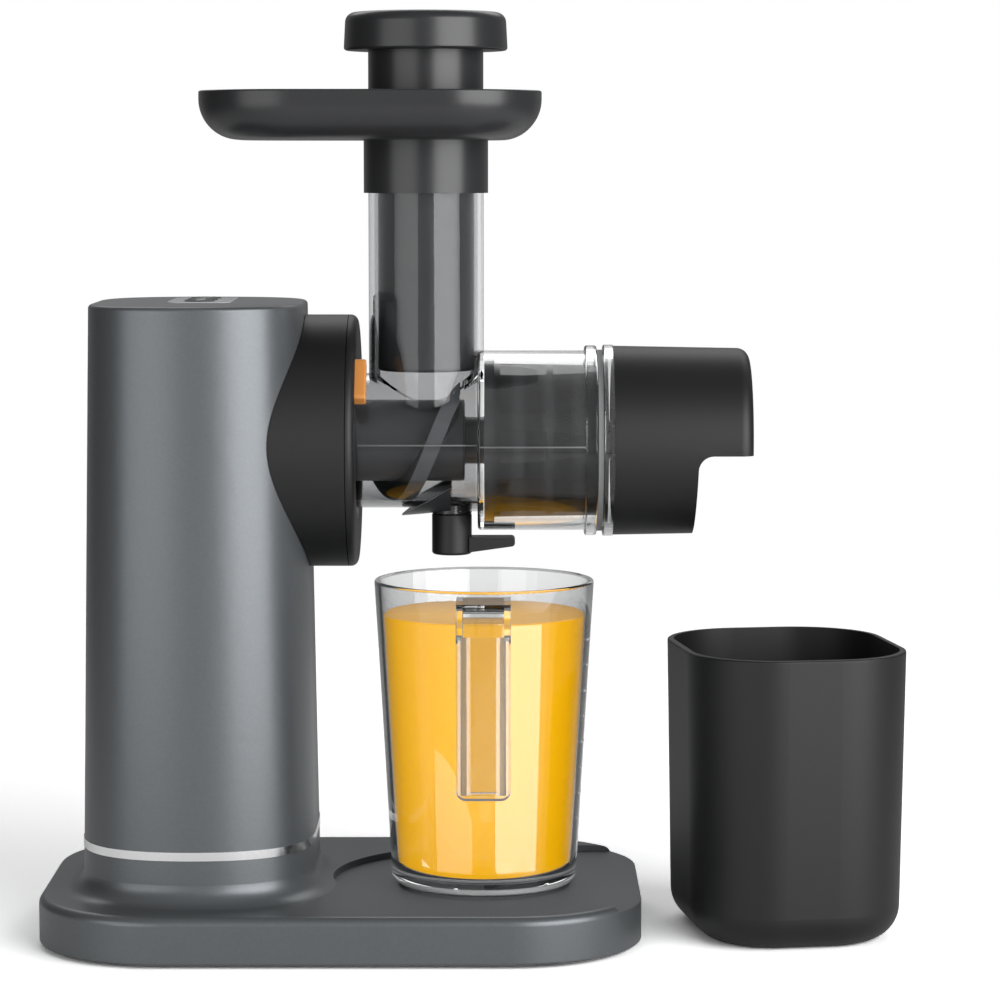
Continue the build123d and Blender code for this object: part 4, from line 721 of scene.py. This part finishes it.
class DressSpout(bpy.types.Operator):
    """Puts the saddle and the collar round the juice spout's root"""

    bl_idname = "juicer.dress_spout"
    bl_label = "Dress the spout"

    REACH = 0.0200                  # saddle, from the spout's axis towards the hub
    GAP = 0.00015                   # between the feed barrel and the saddle
    BELLY = 0.0032                  # the saddle's outside below the feed barrel
    HALF_TURN = math.radians(62)    # how far the saddle climbs each side of the barrel
    TIP_RISE = 0.0002               # the wedge's tip above the saddle's lowest line
    TOP_RISE = 0.0128               # what the wedge's two cuts rise from its tip to the spout
    FOOT_RISE = 0.0028
    BORE = 0.0066                   # collar, round the spout
    SINK = 0.0012                   # the collar's top above the barrel's lowest line
    LEVER_GAP = 0.0002              # between the lever and the collar
    COLLAR_TRIM = 0.0001            # the collar's radius under its setting
    EDGE = 0.0003

    def execute(self, context):
        sizes = context.scene.juicer_sizes
        spout_x = low("drip_stop").x + sizes.collar_radius
        self.add_saddle(sizes, spout_x)
        self.add_collar(sizes, spout_x)
        return {"FINISHED"}

    def add_saddle(self, sizes, spout_x):
        """Wedge-shaped shell under the feed barrel."""
        left = spout_x - self.REACH
        inner = sizes.feed_radius + self.GAP
        outer = sizes.feed_radius + self.BELLY
        bm = bmesh.new()
        profile_wire(bm, [(left, -inner, 0), (spout_x, -inner, 0),
                          (spout_x, -outer, 0), (left, -outer, 0)])
        section = bmesh.ops.contextual_create(bm, geom=bm.edges[:])["faces"]
        start = Matrix.Rotation(-self.HALF_TURN, 3, "X")
        bmesh.ops.rotate(bm, verts=bm.verts, cent=(0, 0, 0), matrix=start)
        bmesh.ops.spin(bm, geom=section + bm.edges[:] + bm.verts[:], cent=(0, 0, 0),
                       axis=(1, 0, 0), angle=2 * self.HALF_TURN, steps=48)
        bmesh.ops.translate(bm, verts=bm.verts, vec=(0, 0, AXIS.z))
        tip = Vector((left, 0, AXIS.z - outer + self.TIP_RISE))
        for rise, side in ((self.TOP_RISE, 1), (self.FOOT_RISE, -1)):
            slope = Vector((spout_x - left, 0, rise)).normalized()
            cut_off = Vector((-slope.z, 0, slope.x)) * side
            cut = bmesh.ops.bisect_plane(bm, geom=bm.verts[:] + bm.edges[:] + bm.faces[:],
                                         plane_co=tip, plane_no=cut_off, clear_outer=True)
            rim = [item for item in cut["geom_cut"] if isinstance(item, bmesh.types.BMEdge)]
            bmesh.ops.holes_fill(bm, edges=rim, sides=0)
        bmesh.ops.recalc_face_normals(bm, faces=bm.faces)
        self.finish_dark(bm, "spout_saddle")

    def add_collar(self, sizes, spout_x):
        """Ring round the spout, from the lever up into the saddle."""
        foot = high("drip_stop").z + self.LEVER_GAP
        height = AXIS.z - sizes.feed_radius + self.SINK - foot
        radius = sizes.collar_radius - self.COLLAR_TRIM
        bm = turned([(0, self.BORE, 0), (0, radius, self.EDGE),
                     (height, radius, self.EDGE), (height, self.BORE, 0)],
                    Vector((spout_x, 0, foot)))
        self.finish_dark(bm, "spout_collar")

    def finish_dark(self, bm, name):
        finish_piece(bm, name, "chamber", FINISH["dark_grey_plastic"])


class DrawIcons(bpy.types.Operator):
    """Puts a plain raised symbol on each of the three buttons"""

    bl_idname = "juicer.draw_icons"
    bl_label = "Draw the button symbols"

    RING_TURN = math.radians(290)   # how far the open ring goes round
    RING_START = math.radians(125)
    # The rest are shares of the symbol's width.
    RING_INNER, RING_OUTER = 0.36, 0.5
    BAR_WIDTH, BAR_LENGTH, BAR_PLACE = 0.13, 0.42, 0.36
    ARROW_FOOT, ARROW_TOP = 0.45, 0.42

    def execute(self, context):
        sizes = context.scene.juicer_sizes
        self.add_power_icon(sizes)
        self.add_arrow_icon("start_icon", "start_button", sizes, 1)
        self.add_arrow_icon("reverse_icon", "reverse_button", sizes, -1)
        return {"FINISHED"}

    def add_power_icon(self, sizes):
        """Open ring with a bar in its gap."""
        size, rise = sizes.icon_size, sizes.icon_rise
        inner, outer = size * self.RING_INNER, size * self.RING_OUTER
        bm = bmesh.new()
        corners = [bm.verts.new((along, 0, up))
                   for along, up in ((inner, 0), (outer, 0), (outer, rise), (inner, rise))]
        section = bm.faces.new(corners)
        bmesh.ops.spin(bm, geom=[section] + section.edges[:] + corners, cent=(0, 0, 0),
                       axis=(0, 0, 1), angle=self.RING_TURN, steps=40)
        start = Matrix.Rotation(self.RING_START, 3, "Z")
        bmesh.ops.rotate(bm, verts=bm.verts, cent=(0, 0, 0), matrix=start)
        add_block(bm, (size * self.BAR_WIDTH, size * self.BAR_LENGTH, rise),
                  (0, size * self.BAR_PLACE, rise / 2))
        self.place_icon(bm, "power_icon", "power_button")

    def add_arrow_icon(self, name, button, sizes, way):
        """Triangle that points along X."""
        bm = bmesh.new()
        made = bmesh.ops.create_cone(bm, cap_ends=True, segments=3,
                                     radius1=sizes.icon_size * self.ARROW_FOOT,
                                     radius2=sizes.icon_size * self.ARROW_TOP,
                                     depth=sizes.icon_rise)["verts"]
        point_along = Matrix.Rotation(-way * math.pi / 2, 3, "Z")
        bmesh.ops.rotate(bm, verts=made, cent=(0, 0, 0), matrix=point_along)
        bmesh.ops.translate(bm, verts=made, vec=(0, 0, sizes.icon_rise / 2))
        self.place_icon(bm, name, button)

    def place_icon(self, bm, name, button):
        """Moves a symbol from the origin to the top of its button."""
        bmesh.ops.recalc_face_normals(bm, faces=bm.faces)
        place = middle(button)
        bmesh.ops.translate(bm, verts=bm.verts, vec=(place.x, place.y, high(button).z))
        finish_piece(bm, name, button, FINISH["mark_print"])


class SetStudio(bpy.types.Operator):
    """Puts in the surround, the floor, the lamps, the grey tent and the camera"""

    bl_idname = "juicer.set_studio"
    bl_label = "Set the studio"

    FLOOR_RADIUS = 1.6
    FLOOR_FADE = (0.45, 1.3)        # distances between which the floor fades out
    FLOOR_LIGHT = 0.85              # the floor's tone to all but the camera
    TENT_RADIUS = 2.4
    SENSOR_WIDTH = 36.0
    CLIP_END = 20.0

    def execute(self, context):
        studio = context.scene.juicer_studio
        self.add_surround(context, studio)
        self.add_floor(studio)
        self.add_lamps(studio)
        self.add_tent(studio)
        self.add_camera(context, studio)
        context.scene.view_settings.view_transform = "Standard"
        return {"FINISHED"}

    def add_surround(self, context, studio):
        """White behind the object and in its gloss, softer as a light."""
        world = bpy.data.worlds.new("studio_surround")
        world.use_nodes = True
        context.scene.world = world
        background = world.node_tree.nodes["Background"]
        background.inputs["Color"].default_value = (*grey(1.0), 1.0)
        path = add_node(world, "ShaderNodeLightPath")
        strength = add_node(world, "ShaderNodeMapRange", To_Min=studio.world, To_Max=1.0)
        seen = add_node(world, "ShaderNodeMath")
        mirrored = add_node(world, "ShaderNodeMath")
        seen.operation = mirrored.operation = "MAXIMUM"
        link(world, path, "Is Camera Ray", seen, 0)
        link(world, path, "Is Transmission Ray", seen, 1)
        link(world, seen, "Value", mirrored, 0)
        link(world, path, "Is Glossy Ray", mirrored, 1)
        link(world, mirrored, "Value", strength, "Value")
        link(world, strength, "Result", background, "Strength")

    def add_floor(self, studio):
        """Pale disc that fades out into the surround and keeps the object's shadow."""
        bm = bmesh.new()
        bmesh.ops.create_circle(bm, cap_ends=True, radius=self.FLOOR_RADIUS, segments=96)
        mesh = to_mesh(bm, "studio_floor")
        floor = add_object("studio_floor", mesh)
        paint = new_material("studio_floor", grey(0.9), Roughness=0.9, Specular_IOR_Level=0.0)
        path = add_node(paint, "ShaderNodeLightPath")
        tone = add_node(paint, "ShaderNodeMapRange", To_Min=self.FLOOR_LIGHT,
                        To_Max=studio.floor_tone)
        link(paint, path, "Is Camera Ray", tone, "Value")
        link(paint, tone, "Result", principled(paint), "Base Color")
        where = add_node(paint, "ShaderNodeTexCoord")
        distance = add_vector_math(paint, "LENGTH")
        fade_start, fade_end = self.FLOOR_FADE
        fade = add_node(paint, "ShaderNodeMapRange", From_Min=fade_start, From_Max=fade_end)
        fade.interpolation_type = "SMOOTHSTEP"
        link(paint, where, "Object", distance, "Vector")
        link(paint, distance, "Value", fade, "Value")
        clear = add_node(paint, "ShaderNodeBsdfTransparent")
        mix = add_node(paint, "ShaderNodeMixShader")
        link(paint, fade, "Result", mix, "Fac")
        link(paint, principled(paint), "BSDF", mix, 1)
        link(paint, clear, "BSDF", mix, 2)
        link(paint, mix, "Shader", paint.node_tree.nodes["Material Output"], "Surface")
        mesh.materials.append(paint)

    def add_lamps(self, studio):
        """Two soft boxes beside the camera and one behind and above."""
        for name, place, aim, width, height, power in (
                ("right_box", (1.14, -1.20, 0.55), (0.0, 0.0, 0.2), 1.75, 1.5,
                 studio.right_power),
                ("left_box", (-1.03, -1.23, 0.24), (0.0, 0.0, 0.2), 1.45, 1.15,
                 studio.left_power),
                ("rear_box", (0.0, 1.25, 1.3), (0.0, 0.0, 0.1), 2.0, 0.7,
                 studio.rear_power)):
            lamp = bpy.data.lights.new(name, "AREA")
            lamp.shape = "RECTANGLE"
            lamp.size = width
            lamp.size_y = height
            lamp.energy = power
            holder = add_object(name, lamp)
            holder.location = place
            look = (Vector(aim) - Vector(place)).to_track_quat("-Z", "Y")
            holder.rotation_euler = look.to_euler()

    def add_tent(self, studio):
        """Dim grey tent round the set, which only gloss and soft light meet."""
        bm = bmesh.new()
        bmesh.ops.create_uvsphere(bm, u_segments=48, v_segments=24, radius=self.TENT_RADIUS)
        mesh = to_mesh(bm, "studio_tent")
        cloth = new_material("studio_tent", grey(0.0), Roughness=1.0, Specular_IOR_Level=0.0,
                             Emission_Color=(*grey(1.0), 1.0))
        where = add_node(cloth, "ShaderNodeTexCoord")
        split = add_node(cloth, "ShaderNodeSeparateXYZ")
        across = add_node(cloth, "ShaderNodeMapRange", From_Min=-self.TENT_RADIUS,
                          From_Max=self.TENT_RADIUS)
        middle_tone = grey(studio.tent)
        ramp = add_ramp(cloth, (0.06, grey(studio.tent_left)), (0.22, middle_tone),
                        (0.78, middle_tone), (0.92, grey(studio.tent_right)))
        link(cloth, where, "Object", split, "Vector")
        link(cloth, split, "X", across, "Value")
        link(cloth, across, "Result", ramp, "Fac")
        link(cloth, ramp, "Color", principled(cloth), "Emission Strength")
        mesh.materials.append(cloth)
        tent = add_object("studio_tent", mesh)
        tent.visible_camera = False
        tent.visible_transmission = False
        tent.visible_shadow = False

    def add_camera(self, context, studio):
        lens = bpy.data.cameras.new("camera")
        lens.lens = studio.lens
        lens.sensor_width = self.SENSOR_WIDTH
        lens.clip_end = self.CLIP_END
        camera = add_object("camera", lens)
        camera.location = (TOWER_X + studio.across, -studio.distance, studio.height)
        camera.rotation_euler = (math.pi / 2 - studio.tilt, 0, 0)
        context.scene.camera = camera


class JuicerPanel(bpy.types.Panel):
    """Steps and settings of the juicer"""

    bl_idname = "VIEW3D_PT_juicer"
    bl_label = "Cold Press Juicer"
    bl_space_type = "VIEW_3D"
    bl_region_type = "UI"
    bl_category = "Juicer"

    def draw(self, context):
        scene = context.scene
        for group in (scene.juicer_look, scene.juicer_sizes, scene.juicer_studio):
            box = self.layout.box()
            for key in group.__annotations__:
                box.prop(group, key)
        for step in STEPS:
            self.layout.operator(step.bl_idname)


STEPS = (FinishFrame, PourJuice, PaintGlintRing, MarkJug, RibHandle, DrawSeam, DressSpout,
         DrawIcons, SetStudio)
CLASSES = (JuicerLook, JuicerSizes, JuicerStudio) + STEPS + (JuicerPanel,)


def register():
    for cls in CLASSES:
        bpy.utils.register_class(cls)
    bpy.types.Scene.juicer_look = PointerProperty(type=JuicerLook)
    bpy.types.Scene.juicer_sizes = PointerProperty(type=JuicerSizes)
    bpy.types.Scene.juicer_studio = PointerProperty(type=JuicerStudio)


def unregister():
    del bpy.types.Scene.juicer_studio
    del bpy.types.Scene.juicer_sizes
    del bpy.types.Scene.juicer_look
    for cls in reversed(CLASSES):
        bpy.utils.unregister_class(cls)


def main():
    register()
    for step in STEPS:
        family, action = step.bl_idname.split(".")
        getattr(getattr(bpy.ops, family), action)()
    bpy.context.view_layer.update()


if __name__ == "__main__":
    main()
